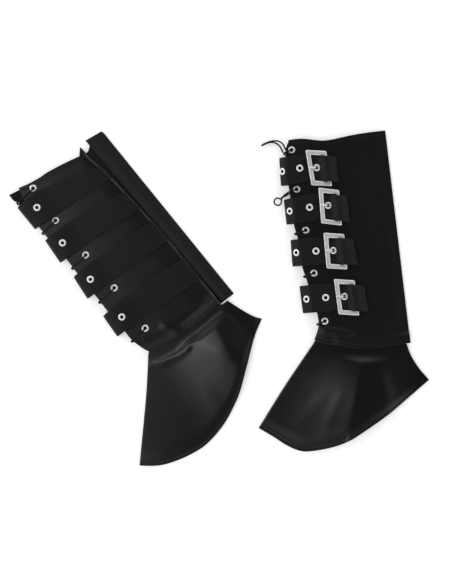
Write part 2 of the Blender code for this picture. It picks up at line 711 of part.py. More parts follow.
def prong(side, number, cover, kit):
    # A rod hooked round the heel bar, under the strap, up through its eyelet and over the left bar
    buckle = cover["buckles"][number]
    strap = cover["straps"][number]
    up, back = buckle_frame(buckle)
    high, low, left, heel = buckle_levels(cover, buckle)
    eye = strap_eyes(cover, strap, buckle, strap_profile(cover, strap, buckle))[-1][0]
    hole = np.array([-eye.x, eye.y]) / MM
    face = float(face_z(cover, *hole))
    bar_top = high + BUCKLE["thick"] / 2
    hook = BUCKLE["thick"] / 2 + GAP + PRONG / 2 + 0.1
    wide = BUCKLE["heel"] / 2 + GAP + PRONG / 2
    hooked = [(wide + 0.2, low + 1.1), (wide + 0.2, low - 1.7), (wide - 0.75, low - hook - 0.25),
              (1.6, low - hook - 0.35), (-3.2, low - hook - 0.05)]
    points = [(*(heel + back * a), z) for a, z in hooked]
    under = face + RIDE_BAR - STRAP / 2 - GAP - PRONG / 2 - 0.05
    toward = [(3.6, under), (1.2, under + 0.35), (0.15, under + 2.4), (-0.4, under + 4.6),
              (-1.6, under + 7.2), (-3.7, bar_top + GAP + PRONG / 2 + 0.25)]
    points += [(*(hole + back * a), z) for a, z in toward]
    edge = float((np.array(buckle["spot"]) - hole) @ back)
    points.append((*(hole + back * (edge + 3.0)), bar_top + GAP + PRONG / 2 + 0.25))
    points.append((*(hole + back * (edge - 0.4)), bar_top + GAP + PRONG / 2 + 0.45))
    return tube(f"{side}_prong_{number + 1}", points, PRONG, kit, "steel")


def lace_route(cover):
    # For each eyelet pair the lace rises from between the panels, passes forward over the upper one,
    # round the front, back under the lower one and up through its hole to run on inside
    route = []
    for k, row in enumerate(cover["lacing"]):
        front, height = row["eye"]
        edge = front_edge(cover, height - 3.0)
        face = float(face_z(cover, front, height))
        inside = float(lower_z(cover, front, height)) + PANEL / 2 + LACE_GAP / 2
        lowest = LACE / 2 + 0.15
        over = face + GAP + LACE / 2
        route += [(front, height + 9.0, inside), (front, height + 2.6, inside + 0.1),
                  (front + 0.1, height, face - 0.4), (front + 0.9, height - 0.4, face + 2.3),
                  (front + 4.4, height - 1.2, over + EYELET_RISE + 0.2),
                  (edge - 0.8, height - 2.4, over + 0.6)]
        if cover["loop"] and cover["loop"]["row"] == k:
            route += loop_route(cover["loop"], edge, height)
        else:
            route += [(edge + 1.7, height - 2.9, face - 0.1), (edge + 2.0, height - 3.6, lowest + 2.0)]
        route += [(edge - 0.2, height - 4.4, lowest), (front + 3.6, height - 5.0, lowest),
                  (front + 0.3, height - 5.0, lowest + 1.3), (front, height - 5.6, inside - 0.4),
                  (front, height - 9.0, inside)]
    return route


def loop_route(loop, edge, height):
    # A slack ring of lace that stands out between the first two straps
    centre = loop["centre"]
    points = [(edge + 2.5, height - 3.4, 10.0), (edge + 8.3, height - 6.9, 9.7)]
    for k in range(9):
        turn = math.radians(140 - 40 * k)
        points.append((centre[0] + loop["radius"] * math.cos(turn),
                       centre[1] + loop["radius"] * math.sin(turn), 9.2 - 0.45 * k))
    points += [(edge + 12.0, height - 12.0, 5.4), (edge + 10.2, height - 8.8, 4.8),
               (edge + 5.0, height - 7.0, 3.0)]
    return points


def build_cover(side, cover, kit):
    shaft_panel(side, cover, "lower", kit)
    shaft_panel(side, cover, "upper", kit)
    foot(side, cover, kit)
    closure(side, cover, kit)
    for number in range(len(cover["straps"])):
        strap_piece(side, number, cover, kit)
    for number in range(len(cover["buckles"])):
        buckle_piece(side, number, cover, kit)
        chape(side, number, cover, kit)
        prong(side, number, cover, kit)
    tube(f"{side}_lace", lace_route(cover), LACE, kit, "lace")
    for k, row in enumerate(cover["lacing"]):
        front, height = row["eye"]
        centre = to_frame((front, height, float(face_z(cover, front, height))))
        eyelet(f"{side}_lacing_eyelet_{k + 1}", centre, Vector((0, 0, 1)), PANEL - 0.3, kit)


def main():
    for old in list(bpy.data.objects):
        bpy.data.objects.remove(old)
    parts = collection("boot_covers")
    cutters = collection("cutters")
    root = bpy.data.objects.new("layout", None)
    parts.objects.link(root)
    for side, cover in COVERS.items():
        place = bpy.data.objects.new(side + "_cover", None)
        parts.objects.link(place)
        place.parent = root
        place.location = (cover["corner"][0] * MM, cover["corner"][1] * MM, 0)
        place.rotation_euler.z = math.radians(cover["turn"])
        kit = dict(parts=parts, cutters=cutters, place=place)
        build_cover(side, cover, kit)
        if side == "left":
            for name, route in FREE_ENDS.items():
                tube(name, smooth_route(route, 2), LACE, kit, "lace")


main()
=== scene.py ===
import math

import bpy
import numpy as np
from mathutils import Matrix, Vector


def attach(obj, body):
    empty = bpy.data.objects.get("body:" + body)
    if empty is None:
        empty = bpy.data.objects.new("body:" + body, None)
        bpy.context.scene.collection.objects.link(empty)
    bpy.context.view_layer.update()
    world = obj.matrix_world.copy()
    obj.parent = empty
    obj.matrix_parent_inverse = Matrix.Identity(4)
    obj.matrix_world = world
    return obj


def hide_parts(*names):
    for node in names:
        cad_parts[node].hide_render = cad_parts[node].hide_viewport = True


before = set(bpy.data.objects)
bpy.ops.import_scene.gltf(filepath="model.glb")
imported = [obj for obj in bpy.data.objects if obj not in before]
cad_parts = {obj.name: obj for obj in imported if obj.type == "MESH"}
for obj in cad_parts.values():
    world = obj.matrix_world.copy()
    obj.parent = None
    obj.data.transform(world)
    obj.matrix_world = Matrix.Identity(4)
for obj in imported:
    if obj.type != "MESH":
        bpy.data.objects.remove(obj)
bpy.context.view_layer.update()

# A pair of boot covers in black imitation leather, laid flat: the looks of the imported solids.
# Sizes are in millimetres and meshes in metres. A cover has its own flat frame: front runs from its
# straight back edge towards the toe, height runs up the shaft, and z rises from the surface.

mm = 0.001

photo = dict(width=452, height=584, mmPerPixel=1.38, centre=(9.54, 8.36), level=6.0, lens=85.0, sensor=36.0,
             near=0.05, far=30.0)

# Each softbox: where it stands and its side in metres, and how bright its face is
softboxes = dict(
    keyLeft=dict(place=(-0.92, 0.16, 2.20), side=0.90, glow=3.5),
    keyLow=dict(place=(-0.86, -1.06, 1.98), side=0.85, glow=3.0),
    leftBox=dict(place=(-2.2, 0.9, 1.0), side=1.2, glow=2.6),
    rightBox=dict(place=(2.2, -0.9, 1.0), side=1.2, glow=2.2),
    farBox=dict(place=(0.7, 2.2, 1.0), side=1.2, glow=2.6),
    nearBox=dict(place=(-0.4, -2.3, 1.0), side=1.2, glow=2.2),
)
# The room's light straight above and around, the rise over which it changes, and the floor
room = dict(above=0.05, around=1.15, lowRise=0.30, highRise=0.95, floor=(0.93, 0.93, 0.93), glow=0.30,
            floorSide=9.0, drop=0.0002)


def addCamera():
    # Straight above the photo's middle, at its height in mm times lens over sensor
    scene = bpy.context.scene
    away = photo["height"] * photo["mmPerPixel"] * photo["lens"] / photo["sensor"] + photo["level"]
    lens = bpy.data.cameras.new("camera")
    lens.lens = photo["lens"]
    lens.sensor_width = photo["sensor"]
    lens.clip_start = photo["near"]
    lens.clip_end = photo["far"]
    camera = bpy.data.objects.new("camera", lens)
    camera.location = (photo["centre"][0] * mm, photo["centre"][1] * mm, away * mm)
    scene.collection.objects.link(camera)
    scene.camera = camera


def addLights():
    # An area light's power is its brightness times its area times pi
    scene = bpy.context.scene
    for name, box in softboxes.items():
        light = bpy.data.lights.new(name, "AREA")
        light.shape = "SQUARE"
        light.size = box["side"]
        light.energy = box["glow"] * box["side"] ** 2 * math.pi
        made = bpy.data.objects.new(name, light)
        made.location = box["place"]
        made.rotation_mode = "QUATERNION"
        made.rotation_quaternion = (-Vector(box["place"])).to_track_quat("-Z", "Y")
        scene.collection.objects.link(made)


def addRoom():
    # The room is dim straight above, where flat cloth mirrors it, and paler towards the horizon
    scene = bpy.context.scene
    world = bpy.data.worlds.new("room")
    world.use_nodes = True
    scene.world = world
    tree = world.node_tree
    direction = tree.nodes.new("ShaderNodeTexCoord")
    parts = tree.nodes.new("ShaderNodeSeparateXYZ")
    tree.links.new(direction.outputs["Generated"], parts.inputs[0])
    rise = tree.nodes.new("ShaderNodeMapRange")
    rise.interpolation_type = "SMOOTHSTEP"
    limits = {"From Min": room["lowRise"], "From Max": room["highRise"],
              "To Min": room["around"], "To Max": room["above"]}
    for key, value in limits.items():
        rise.inputs[key].default_value = value
    tree.links.new(parts.outputs["Z"], rise.inputs["Value"])
    tree.links.new(rise.outputs[0], tree.nodes["Background"].inputs["Strength"])
    tree.nodes["Background"].inputs["Color"].default_value = (1.0, 1.0, 1.0, 1.0)
    scene.view_settings.view_transform = "Standard"

    half = room["floorSide"] / 2
    mesh = bpy.data.meshes.new("floor")
    corners = [(x * half, y * half, -room["drop"]) for x, y in ((-1, -1), (1, -1), (1, 1), (-1, 1))]
    mesh.from_pydata(corners, [], [(0, 1, 2, 3)])
    floor = bpy.data.objects.new("floor", mesh)
    scene.collection.objects.link(floor)
    paper = bpy.data.materials.new("palePaper")
    paper.use_nodes = True
    # A light table: pale, and lit a little from below, so that it shows hardly any shadow
    looks = {"Base Color": (*room["floor"], 1.0), "Roughness": 0.95, "Specular IOR Level": 0.1,
             "Emission Color": (1.0, 1.0, 1.0, 1.0), "Emission Strength": room["glow"]}
    for key, value in looks.items():
        paper.node_tree.nodes["Principled BSDF"].inputs[key].default_value = value
    mesh.materials.append(paper)


addCamera()
addLights()
addRoom()
print("camera, softboxes and floor are in place")


# Finishes

class Term:
    # A shader socket that can stand in sums: an expression on terms adds its Math nodes
    def __init__(self, finish, socket):
        self.finish = finish
        self.socket = socket

    def work(self, operation, first, second):
        return self.finish.node("ShaderNodeMath", dict(operation=operation), {0: first, 1: second})

    def __add__(self, other):
        return self.work("ADD", self, other)

    def __radd__(self, other):
        return self.work("ADD", other, self)

    def __sub__(self, other):
        return self.work("SUBTRACT", self, other)

    def __rsub__(self, other):
        return self.work("SUBTRACT", other, self)

    def __mul__(self, other):
        return self.work("MULTIPLY", self, other)

    def __rmul__(self, other):
        return self.work("MULTIPLY", other, self)


class Finish:
    # One material with its surface shader, and the one method that adds its other nodes
    def __init__(self, name):
        self.material = bpy.data.materials.new(name)
        self.material.use_nodes = True
        self.tree = self.material.node_tree
        self.surface = self.tree.nodes["Principled BSDF"]

    def node(self, kind, settings=None, sockets=None, out=0):
        made = self.tree.nodes.new(kind)
        for key, value in (settings or {}).items():
            setattr(made, key, value)
        for key, value in (sockets or {}).items():
            self.join(made.inputs[key], value)
        return Term(self, made.outputs[out])

    def join(self, socket, value):
        if isinstance(value, Term):
            self.tree.links.new(value.socket, socket)
        else:
            socket.default_value = value

    def place(self, which="Object"):
        return self.node("ShaderNodeTexCoord", out=which)

    def noise(self, where, scale, detail=2.0, rough=0.5):
        return self.node("ShaderNodeTexNoise", None,
                         {"Vector": where, "Scale": scale, "Detail": detail, "Roughness": rough})

    def tints(self, share, dark, light):
        # A colour between two others, by a share from 0 to 1
        return self.node("ShaderNodeMix", dict(data_type="RGBA"),
                         {0: share, 6: (*dark, 1.0), 7: (*light, 1.0)}, out=2)

    def done(self, look, share, height, rough=None, metal=0.0):
        # Joins up the surface: its colour by share between the look's two, its relief by height
        wanted = {"Base Color": self.tints(share, look["dark"], look["light"]),
                  "Roughness": look["rough"] if rough is None else rough,
                  "Metallic": metal,
                  "Specular IOR Level": look["shine"],
                  "Normal": self.node("ShaderNodeBump", None,
                                      {"Height": height, "Distance": look["depth"], "Strength": 1.0})}
        for key, value in wanted.items():
            self.join(self.surface.inputs[key], value)
        return self.material


# Noise scales count features a metre, and depths are in metres
leatherLooks = dict(
    strapLeather=dict(dark=(0.0060, 0.0060, 0.0061), light=(0.0082, 0.0082, 0.0083), rough=0.50, shine=0.15,
                      pore=1000.0, depth=0.00009),
    shaftLeather=dict(dark=(0.0046, 0.0046, 0.0047), light=(0.0062, 0.0062, 0.0063), rough=0.34, shine=0.27,
                      pore=1150.0, depth=0.00007),
    footLeather=dict(dark=(0.0018, 0.0019, 0.0021), light=(0.0032, 0.0033, 0.0037), rough=0.29, shine=0.46,
                     pore=1300.0, depth=0.00004),
)
clouding = dict(clouds=11.0, smears=60.0, wrinkles=420.0, cloudGloss=0.04, smearGloss=0.03)
otherLooks = dict(
    lining=dict(dark=(0.006, 0.006, 0.006), light=(0.016, 0.016, 0.016), rough=0.92, shine=0.2,
                ribs=260.0, rows=190.0, wave=1.2, depth=0.0003),
    hook=dict(dark=(0.006, 0.006, 0.006), light=(0.014, 0.014, 0.014), rough=0.86, shine=0.25,
              pile=1500.0, tufts=240.0, depth=0.00025),
    lace=dict(dark=(0.003, 0.003, 0.003), light=(0.009, 0.009, 0.009), rough=0.78, shine=0.25,
              along=4200.0, around=25.13, depth=0.00018),
    thread=dict(dark=(0.004, 0.004, 0.004), light=(0.009, 0.009, 0.009), rough=0.7, shine=0.25,
                twist=2600.0, depth=0.0001),
    steel=dict(dark=(0.74, 0.735, 0.72), light=(0.86, 0.86, 0.85), rough=0.50, shine=0.5,
               brush=(300.0, 2600.0, 900.0), rubs=130.0, rubGloss=0.14, brushGloss=0.06, depth=0.00003),
)


def leatherFinish(name, look):
    # Pressed grain of small cells under a soft coat, with faint cloudy changes in colour and gloss
    finish = Finish(name)
    where = finish.place()
    clouds = finish.noise(where, clouding["clouds"], 3.0)
    smears = finish.noise(where, clouding["smears"], 4.0, 0.6)
    cells = finish.node("ShaderNodeTexVoronoi", dict(feature="SMOOTH_F1"),
                        {"Vector": where, "Scale": look["pore"], "Smoothness": 0.6})
    wrinkles = finish.noise(where, clouding["wrinkles"], 3.0, 0.55)
    grain = cells * 0.6 + wrinkles * 0.8
    rough = look["rough"] + (clouds - 0.5) * clouding["cloudGloss"] + (smears - 0.5) * clouding["smearGloss"]
    return finish.done(look, clouds * 0.7 + smears * 0.3, grain, rough)


def liningFinish(look):
    # The knitted backing of the cloth: fine ribs crossed by rows of stitches
    finish = Finish("liningKnit")
    where = finish.place()
    settings = {"Vector": where, "Distortion": look["wave"], "Detail": 1.0}
    ribs, rows = [finish.node("ShaderNodeTexWave", dict(bands_direction=way), dict(settings, Scale=scale),
                              out="Fac")
                  for way, scale in (("X", look["ribs"]), ("Y", look["rows"]))]
    knit = ribs * rows
    return finish.done(look, knit, knit)


def hookFinish(look):
    # Hook-and-loop tape: a dull pile of tiny loops between two smoother selvedges
    finish = Finish("hookTape")
    where = finish.place()
    pile = finish.noise(where, look["pile"], 2.0, 0.7)
    tufts = finish.noise(where, look["tufts"], 3.0, 0.6)
    return finish.done(look, pile * 0.5 + tufts * 0.5, pile + tufts * 0.5)


def laceFinish(look):
    # A round braid: two sets of strands wind round the cord both ways, read from its own length and girth
    finish = Finish("laceBraid")
    where = finish.place("UV")
    along, around = [finish.node("ShaderNodeSeparateXYZ", None, {0: where}, out=way) for way in ("X", "Y")]
    winds = (along * look["along"] + around * look["around"], along * look["along"] - around * look["around"])
    oneWay, otherWay = [finish.node("ShaderNodeMath", dict(operation="SINE"), {0: wind}) for wind in winds]
    braid = finish.node("ShaderNodeMath", dict(operation="MAXIMUM"), {0: oneWay, 1: otherWay})
    return finish.done(look, braid * 0.5 + 0.5, braid)


def threadFinish(look):
    finish = Finish("blackThread")
    twist = finish.noise(finish.place(), look["twist"], 1.0)
    return finish.done(look, twist, twist)


def steelFinish(look):
    # Satin nickel plate: brushed so finely that only a soft streak shows, duller where hands rub it
    finish = Finish("satinNickel")
    where = finish.place()
    stretched = finish.node("ShaderNodeMapping", None, {"Vector": where, "Scale": look["brush"]})
    brushed = finish.noise(stretched, 1.0, 2.0, 0.6)
    rubbed = finish.noise(where, look["rubs"], 3.0, 0.6)
    rough = look["rough"] + (rubbed - 0.5) * look["rubGloss"] + (brushed - 0.5) * look["brushGloss"]
    return finish.done(look, rubbed, brushed, rough, 1.0)


finishes = {name: leatherFinish(name, look) for name, look in leatherLooks.items()}
makers = dict(lining=liningFinish, hook=hookFinish, lace=laceFinish, thread=threadFinish, steel=steelFinish)
finishes.update({name: maker(otherLooks[name]) for name, maker in makers.items()})
print("finishes are made")


# The covers

# Edges are (front, height). Across edges run from back to front, upright ones from below upwards.
leftCover = dict(
    side="left",
    corner=(264.54, -62.44),
    turn=6.76,
    buckled=True,
    seamBack=20.0,
    underEnd=21.0,
    lower="inner",
    upper="outer",
    upperEdges=dict(
        bottom=[(0, 0.7), (30, -0.4), (55, 0), (75, 1.7), (98, 8.7), (121, 14.7), (131.8, 20.2)],
        top=[(0, 296.4), (38, 295.6), (59, 293.9), (76, 292.1), (91, 292.6), (116, 298), (134.5, 298.4)],
        back=[(0, 0.7), (0, 148), (0, 296.4)],
        front=[(131.8, 20.2), (124.1, 38), (123.5, 54), (128, 80), (133, 106), (137, 126), (138.5, 165),
               (141, 182), (142, 238), (141.5, 279), (134.5, 298.4)],
    ),
    lowerEdges=dict(
        bottom=[(20, 0), (55, 0), (75, 1.7), (98, 8.7), (121, 14.7), (131, 20)],
        top=[(20, 294), (59, 292), (91, 291), (116, 296), (133.5, 296.5)],
        back=[(20, 0), (20, 148), (20, 294)],
        front=[(131, 20), (123.2, 38), (122.6, 54), (127, 80), (132, 106), (136, 126), (137.5, 165),
               (140, 182), (141, 238), (140.5, 279), (133.5, 296.5)],
    ),
    footEdges=dict(
        bottom=[(-19.8, -53.3), (13.5, -75.5), (42, -93.7), (75, -111.2), (100, -123.4), (124.3, -129.8),
                (153.2, -132), (170, -129.5), (187.1, -119.7), (202.5, -107), (220.7, -93.1)],
        top=[(9, 8.5), (55, 9), (75, 10.7), (98, 17.7), (115, 22), (125.5, 25)],
        back=[(-19.8, -53.3), (-8, -36), (1.4, -16.2), (5.5, -0.6), (9, 8.5)],
        front=[(220.7, -93.1), (177.5, -39.1), (131.7, 14.4), (125.5, 25)],
    ),
    closure=dict(back=(1.5, 1.5), front=(18.0, 18.0), low=36.0, high=(290.0, 290.0)),
    # Each strap: where it turns round the front, where it passes under the buckle's left bar, its tail
    straps=[
        dict(fold=((149.5, 275.1), (151.8, 236.6)), bend=((114, 274.6), (112, 238.2)),
             end=((73.2, 267.5), (73.2, 232.2)), eyes=[(147.4, 255.8, 42), (124.2, 257.4, 0)]),
        dict(fold=((150.5, 217.2), (150.6, 182.6)), bend=((103, 221.6), (103, 184.4)),
             end=((64.2, 211.5), (64.2, 175.5)), eyes=[(144.0, 200.5, 40), (117.2, 202.4, 0)]),
        dict(fold=((147.8, 161.2), (149.2, 124.2)), bend=((103.5, 160), (103.5, 122)),
             end=((62.5, 152), (60.5, 115.8)), eyes=[(141.8, 142.7, 38), (115.6, 141.6, 0)]),
        dict(fold=((143, 96.5), (142.6, 58.5)), bend=((96, 95.5), (95, 57)),
             end=((55.3, 86.5), (53.4, 50.2)), eyes=[(135.5, 77.6, 36), (109.8, 76.6, 0)]),
    ],
    # Each buckle: middle of its left bar's outer edge, lean of that bar and slope of the bars across it
    buckles=[
        dict(spot=(112.5, 256.6), lean=3.0, slope=-9.0),
        dict(spot=(103.0, 203.2), lean=-2.0, slope=-13.0),
        dict(spot=(103.2, 140.9), lean=-1.5, slope=-10.0),
        dict(spot=(95.4, 76.2), lean=1.0, slope=-10.5),
    ],
    # Lacing eyelets on the upper panel
    lacing=[
        (132.0, 284.0),
        (131.5, 229.5),
        (125.8, 172.0),
        (121.5, 112.0),
        (114.4, 44.5),
    ],
    # Soft ridges (lift above 0, in mm) and troughs of the shaft and of the foot
    shaftFolds=[
        dict(line=[(129, 32), (104, 28), (80, 21)], lift=3.2, width=11, behind=6),
        dict(line=[(107, 27), (109, 11)], lift=-0.4, width=3, behind=3),
        dict(line=[(98, 24), (99, 8)], lift=0.35, width=3, behind=3),
        dict(line=[(90, 20), (89, 5)], lift=-0.3, width=3, behind=3),
    ],
    footFolds=[
        dict(line=[(63, -2), (97, -104)], lift=12.0, plane=70, behind=70),
        dict(line=[(100, -50), (136, -112)], lift=0.25, width=7, behind=7),
        dict(line=[(120, -50), (172, -100)], lift=0.25, width=9, behind=9),
        dict(line=[(50, -34), (38, -72)], lift=0.9, width=10, behind=10),
    ],
    loop=dict(row=1, centre=(159.3, 215.6), radius=5.0, level=9.2, sink=0.45),
)

rightCover = dict(
    side="right",
    corner=(20.54, 6.16),
    turn=37.86,
    buckled=False,
    underEnd=62.0,
    lower="outer",
    upper="inner",
    upperEdges=dict(
        bottom=[(22.6, 1.1), (50, -1.5), (73, -2.1), (112.5, 1.1), (137, 5.3), (142, 9)],
        top=[(43.5, 279.5), (54, 281.2), (76, 286), (100, 290), (113, 290.8), (130, 293.4), (145.2, 297.3)],
        back=[(22.6, 1.1), (24, 60), (25.5, 114), (29.5, 172), (35.2, 230), (39.5, 256), (43.5, 279.5)],
        front=[(142, 9), (146.5, 20), (150.8, 38), (151, 52), (152.6, 91), (152.6, 117), (153.6, 158),
               (153.4, 180), (156, 225), (153.5, 262), (145.2, 297.3)],
    ),
    lowerEdges=dict(
        bottom=[(0, 0), (22, 0), (50, -1.5), (73, -2.1), (112.5, 1.1), (137, 5.3), (141, 9)],
        top=[(5.8, 287), (30, 284.5), (40, 279), (60, 279.5), (100, 287), (145, 295), (162, 298.4)],
        back=[(0, 0), (2.8, 140), (5.8, 287)],
        front=[(141, 9), (145.5, 20), (149.8, 38), (150, 52), (151.6, 91), (151.6, 117), (152.6, 158),
               (152.6, 180), (154.6, 225), (156.6, 262), (157.0, 279), (161.6, 288), (162, 298.4)],
    ),
    footEdges=dict(
        bottom=[(-9.3, -51.1), (14.7, -65), (46.2, -89.1), (76.6, -112.1), (95.5, -122.7), (115.4, -131.8),
                (136.7, -138), (156.5, -141.1), (172.6, -140.6), (195.1, -136.4), (218.8, -128.6),
                (233.5, -120.3), (247.6, -109)],
        top=[(13.1, -1.8), (23, -1.2), (31, 4.5), (73, 6), (112.5, 9), (125, 11), (133, 13)],
        back=[(-9.3, -51.1), (-2, -40.9), (5.5, -23.3), (13.1, -1.8)],
        front=[(247.6, -109), (183.8, -41.5), (151, -4), (143, 5.5), (133, 13)],
    ),
    closure=dict(back=(0.8, 6.6), front=(20.0, 32.5), low=1.5, high=(289.6, 293.0)),
    straps=[
        dict(fold=((162.8, 277), (161.8, 238.5)), bend=((125.8, 278.3), (124.5, 236)),
             end=((39.8, 253.5), (35.8, 230.4)), eyes=[(141.2, 259.5, 3)]),
        dict(fold=((160.3, 217.6), (162.7, 180.4)), bend=((113, 217.3), (112, 177.3)),
             end=((33.2, 204.0), (30.2, 172.6)), eyes=[(143.3, 199.6, 3)]),
        dict(fold=((160.3, 153.8), (163.6, 118.1)), bend=((120, 154.4), (120, 117.0)),
             end=((28.4, 149), (26.4, 114.2)), eyes=[(143.8, 136.6, 3)]),
        dict(fold=((161.3, 86.2), (163, 51.6)), bend=((125, 88.5), (124, 50.0)),
             end=((25.6, 82.2), (24.4, 44.0)), eyes=[(141.5, 69.3, 3)]),
    ],
    buckles=[],
    lacing=[
        (129.4, 284.5),
        (132.3, 230.5),
        (128.7, 167.5),
        (125.4, 107.5),
        (125.9, 37.5),
    ],
    shaftFolds=[
        dict(line=[(106, 28), (99, 17), (91, 4)], lift=1.5, width=7, behind=5),
    ],
    footFolds=[
        dict(line=[(152, -6), (137, -13), (124, -17), (112, -20), (100, -20), (90, -16), (82, -10)],
             lift=1.5, width=5, behind=5),
        dict(line=[(84, -8), (48, -92)], lift=11.0, plane=66, behind=60),
        dict(line=[(104, -54), (118, -118)], lift=0.25, width=12, behind=12),
        dict(line=[(40, -10), (16, -24)], lift=0.6, width=9, behind=9),
    ],
    loop=None,
)

covers = dict(left=leftCover, right=rightCover)

# The left lace's two free ends lie one on the other: route points (front, height, z)
freeEnds = {
    "left_lace_end_a": [(144.2, 282.2, 5.4), (146.2, 288.5, 3.4), (149.0, 293.8, 1.8), (154.0, 297.6, 1.3),
                        (160.0, 298.6, 1.3), (166.6, 297.4, 1.3), (173.0, 295.4, 1.3)],
    "left_lace_end_b": [(139.2, 283.85, 11.0), (141.4, 288.4, 10.3), (143.0, 293.4, 7.6),
                        (146.6, 297.6, 5.2), (152.0, 299.6, 4.2), (159.4, 299.6, 4.1),
                        (166.0, 298.0, 4.1), (171.4, 296.2, 4.1)],
}

# Thickness of cloth and hardware, the clearance between touching pieces and how high the straps
# ride, in mm and as the solids have them
build = dict(panel=1.5, strap=2.2, gap=0.3, lace=2.2, laceGap=3.2, chape=1.0, prong=1.6)
build["lift"] = build["lace"] + build["gap"] + 0.1
build["ridePlain"] = build["gap"] + build["strap"] / 2
build["rideBar"] = 2 * build["gap"] + build["prong"] + build["strap"] / 2 + 0.1
build["rideEyelet"] = 4.4
build["rideHeel"] = 8.9
build["rideTail"] = 4.3
tuck = dict(foot=build["panel"] + build["gap"], top=6.5)
# A frame's outer size, the widths of its bars and its corners, how far its prong's hole lies from
# its spot, and the slack between each bar and the leather
buckleSize = dict(height=49.0, width=29.0, thick=2.6, left=6.2, cross=6.4, heel=4.5, corner=2.2,
                  holeBack=5.3, holeDrop=1.2, leftSlack=0.65, heelSlack=0.5)
eyelet = dict(hole=3.25, rise=1.1, half=5.3)
# Where one level goes over into another, in mm: up from the shaft's hem, or forward from its back edge
ramps = dict(overStraps=(10.5, 21.5), overFoot=(9, 22), tucked=(-22, -5),
             plainBack=(24, 58), laceRoom=(30, 118))
seamDrop = 2.3  # the buckled cover's upper panel lies this much lower at its back seam
stitch = dict(pitch=3.6, length=2.5, width=0.62, flatness=0.8,
              rings=(-0.5, -0.38, 0.0, 0.38, 0.5), sizes=(0.25, 0.8, 1.0, 0.8, 0.25))
laceDrop = 5.0  # the lower panel's lacing holes lie this far below the upper one's


def ease(low, high, x):
    # 0 below low, 1 above high, and share squared times (3 - 2 share) between
    share = np.clip((np.asarray(x, float) - low) / (high - low), 0.0, 1.0)
    return share * share * (3.0 - 2.0 * share)


def bell(x, middle, width):
    # exp(-((x - middle) / width)^2)
    return np.exp(-((x - middle) / width) ** 2)


def blend(pair, share):
    return pair[0] + (pair[1] - pair[0]) * share


def unit(vectors):
    return vectors / np.maximum(np.linalg.norm(vectors, axis=-1, keepdims=True), 1e-12)


def runAlong(points):
    # Distance along a line of points from its first one
    return np.concatenate([[0.0], np.cumsum(np.linalg.norm(np.diff(points, axis=0), axis=1))])


def read(points, run, where):
    # The point of a line at each distance named
    return np.stack([np.interp(where, run, points[:, k]) for k in range(points.shape[1])], axis=-1)


def withLevel(flat, z):
    return np.concatenate([flat, z[..., None]], axis=-1)


def smoothCurve(points, parts):
    # Catmull-Rom: half of 2b + (c-a)t + (2a-5b+4c-d)t^2 + (3b-a-3c+d)t^3 in each span
    p = np.asarray(points, float)
    ends = np.vstack([2 * p[0] - p[1], p, 2 * p[-1] - p[-2]])
    a, b, c, d = ends[:-3, None], ends[1:-2, None], ends[2:-1, None], ends[3:, None]
    t = (np.arange(parts) / parts)[None, :, None]
    curve = 0.5 * (2 * b + (c - a) * t + (2 * a - 5 * b + 4 * c - d) * t ** 2
                   + (3 * b - a - 3 * c + d) * t ** 3)
    return np.vstack([curve.reshape(-1, p.shape[1]), p[-1]])


def alongCurve(points, share):
    # The point at each share of a smooth curve's length
    dense = smoothCurve(points, 12)
    run = runAlong(dense)
    return read(dense, run / run[-1], share)


def patchGrid(edges, s, t):
    # Coons patch on shares s (back to front) and t (upwards): the blend of the back and front edges,
    # plus the blend of the bottom and top ones, less the blend of the four corners. Rows follow t.
    bottom, top = alongCurve(edges["bottom"], s)[None], alongCurve(edges["top"], s)[None]
    back, front = alongCurve(edges["back"], t)[:, None], alongCurve(edges["front"], t)[:, None]
    s, t = s[None, :, None], t[:, None, None]
    corners = [np.array(edges[k][end], float) for k in ("bottom", "top") for end in (0, -1)]
    flat = ((1 - s) * (1 - t) * corners[0] + s * (1 - t) * corners[1]
            + (1 - s) * t * corners[2] + s * t * corners[3])
    return (1 - s) * back + s * front + (1 - t) * bottom + t * top - flat


def hemHeight(cover, front):
    points = np.array(cover["upperEdges"]["bottom"])
    return np.interp(front, points[:, 0], points[:, 1])


# A fold fades over these ranges of its line's share, past each end too; a sloped one also widens
# along its line, from and by these shares, and levels out over a soft width in mm
foldFade = dict(past=9.0, bell=((-0.15, 0.3), (0.75, 1.2)), plane=((-0.3, 0.7), (0.75, 2.2)),
                narrow=0.8, widen=0.4, soft=3.0)


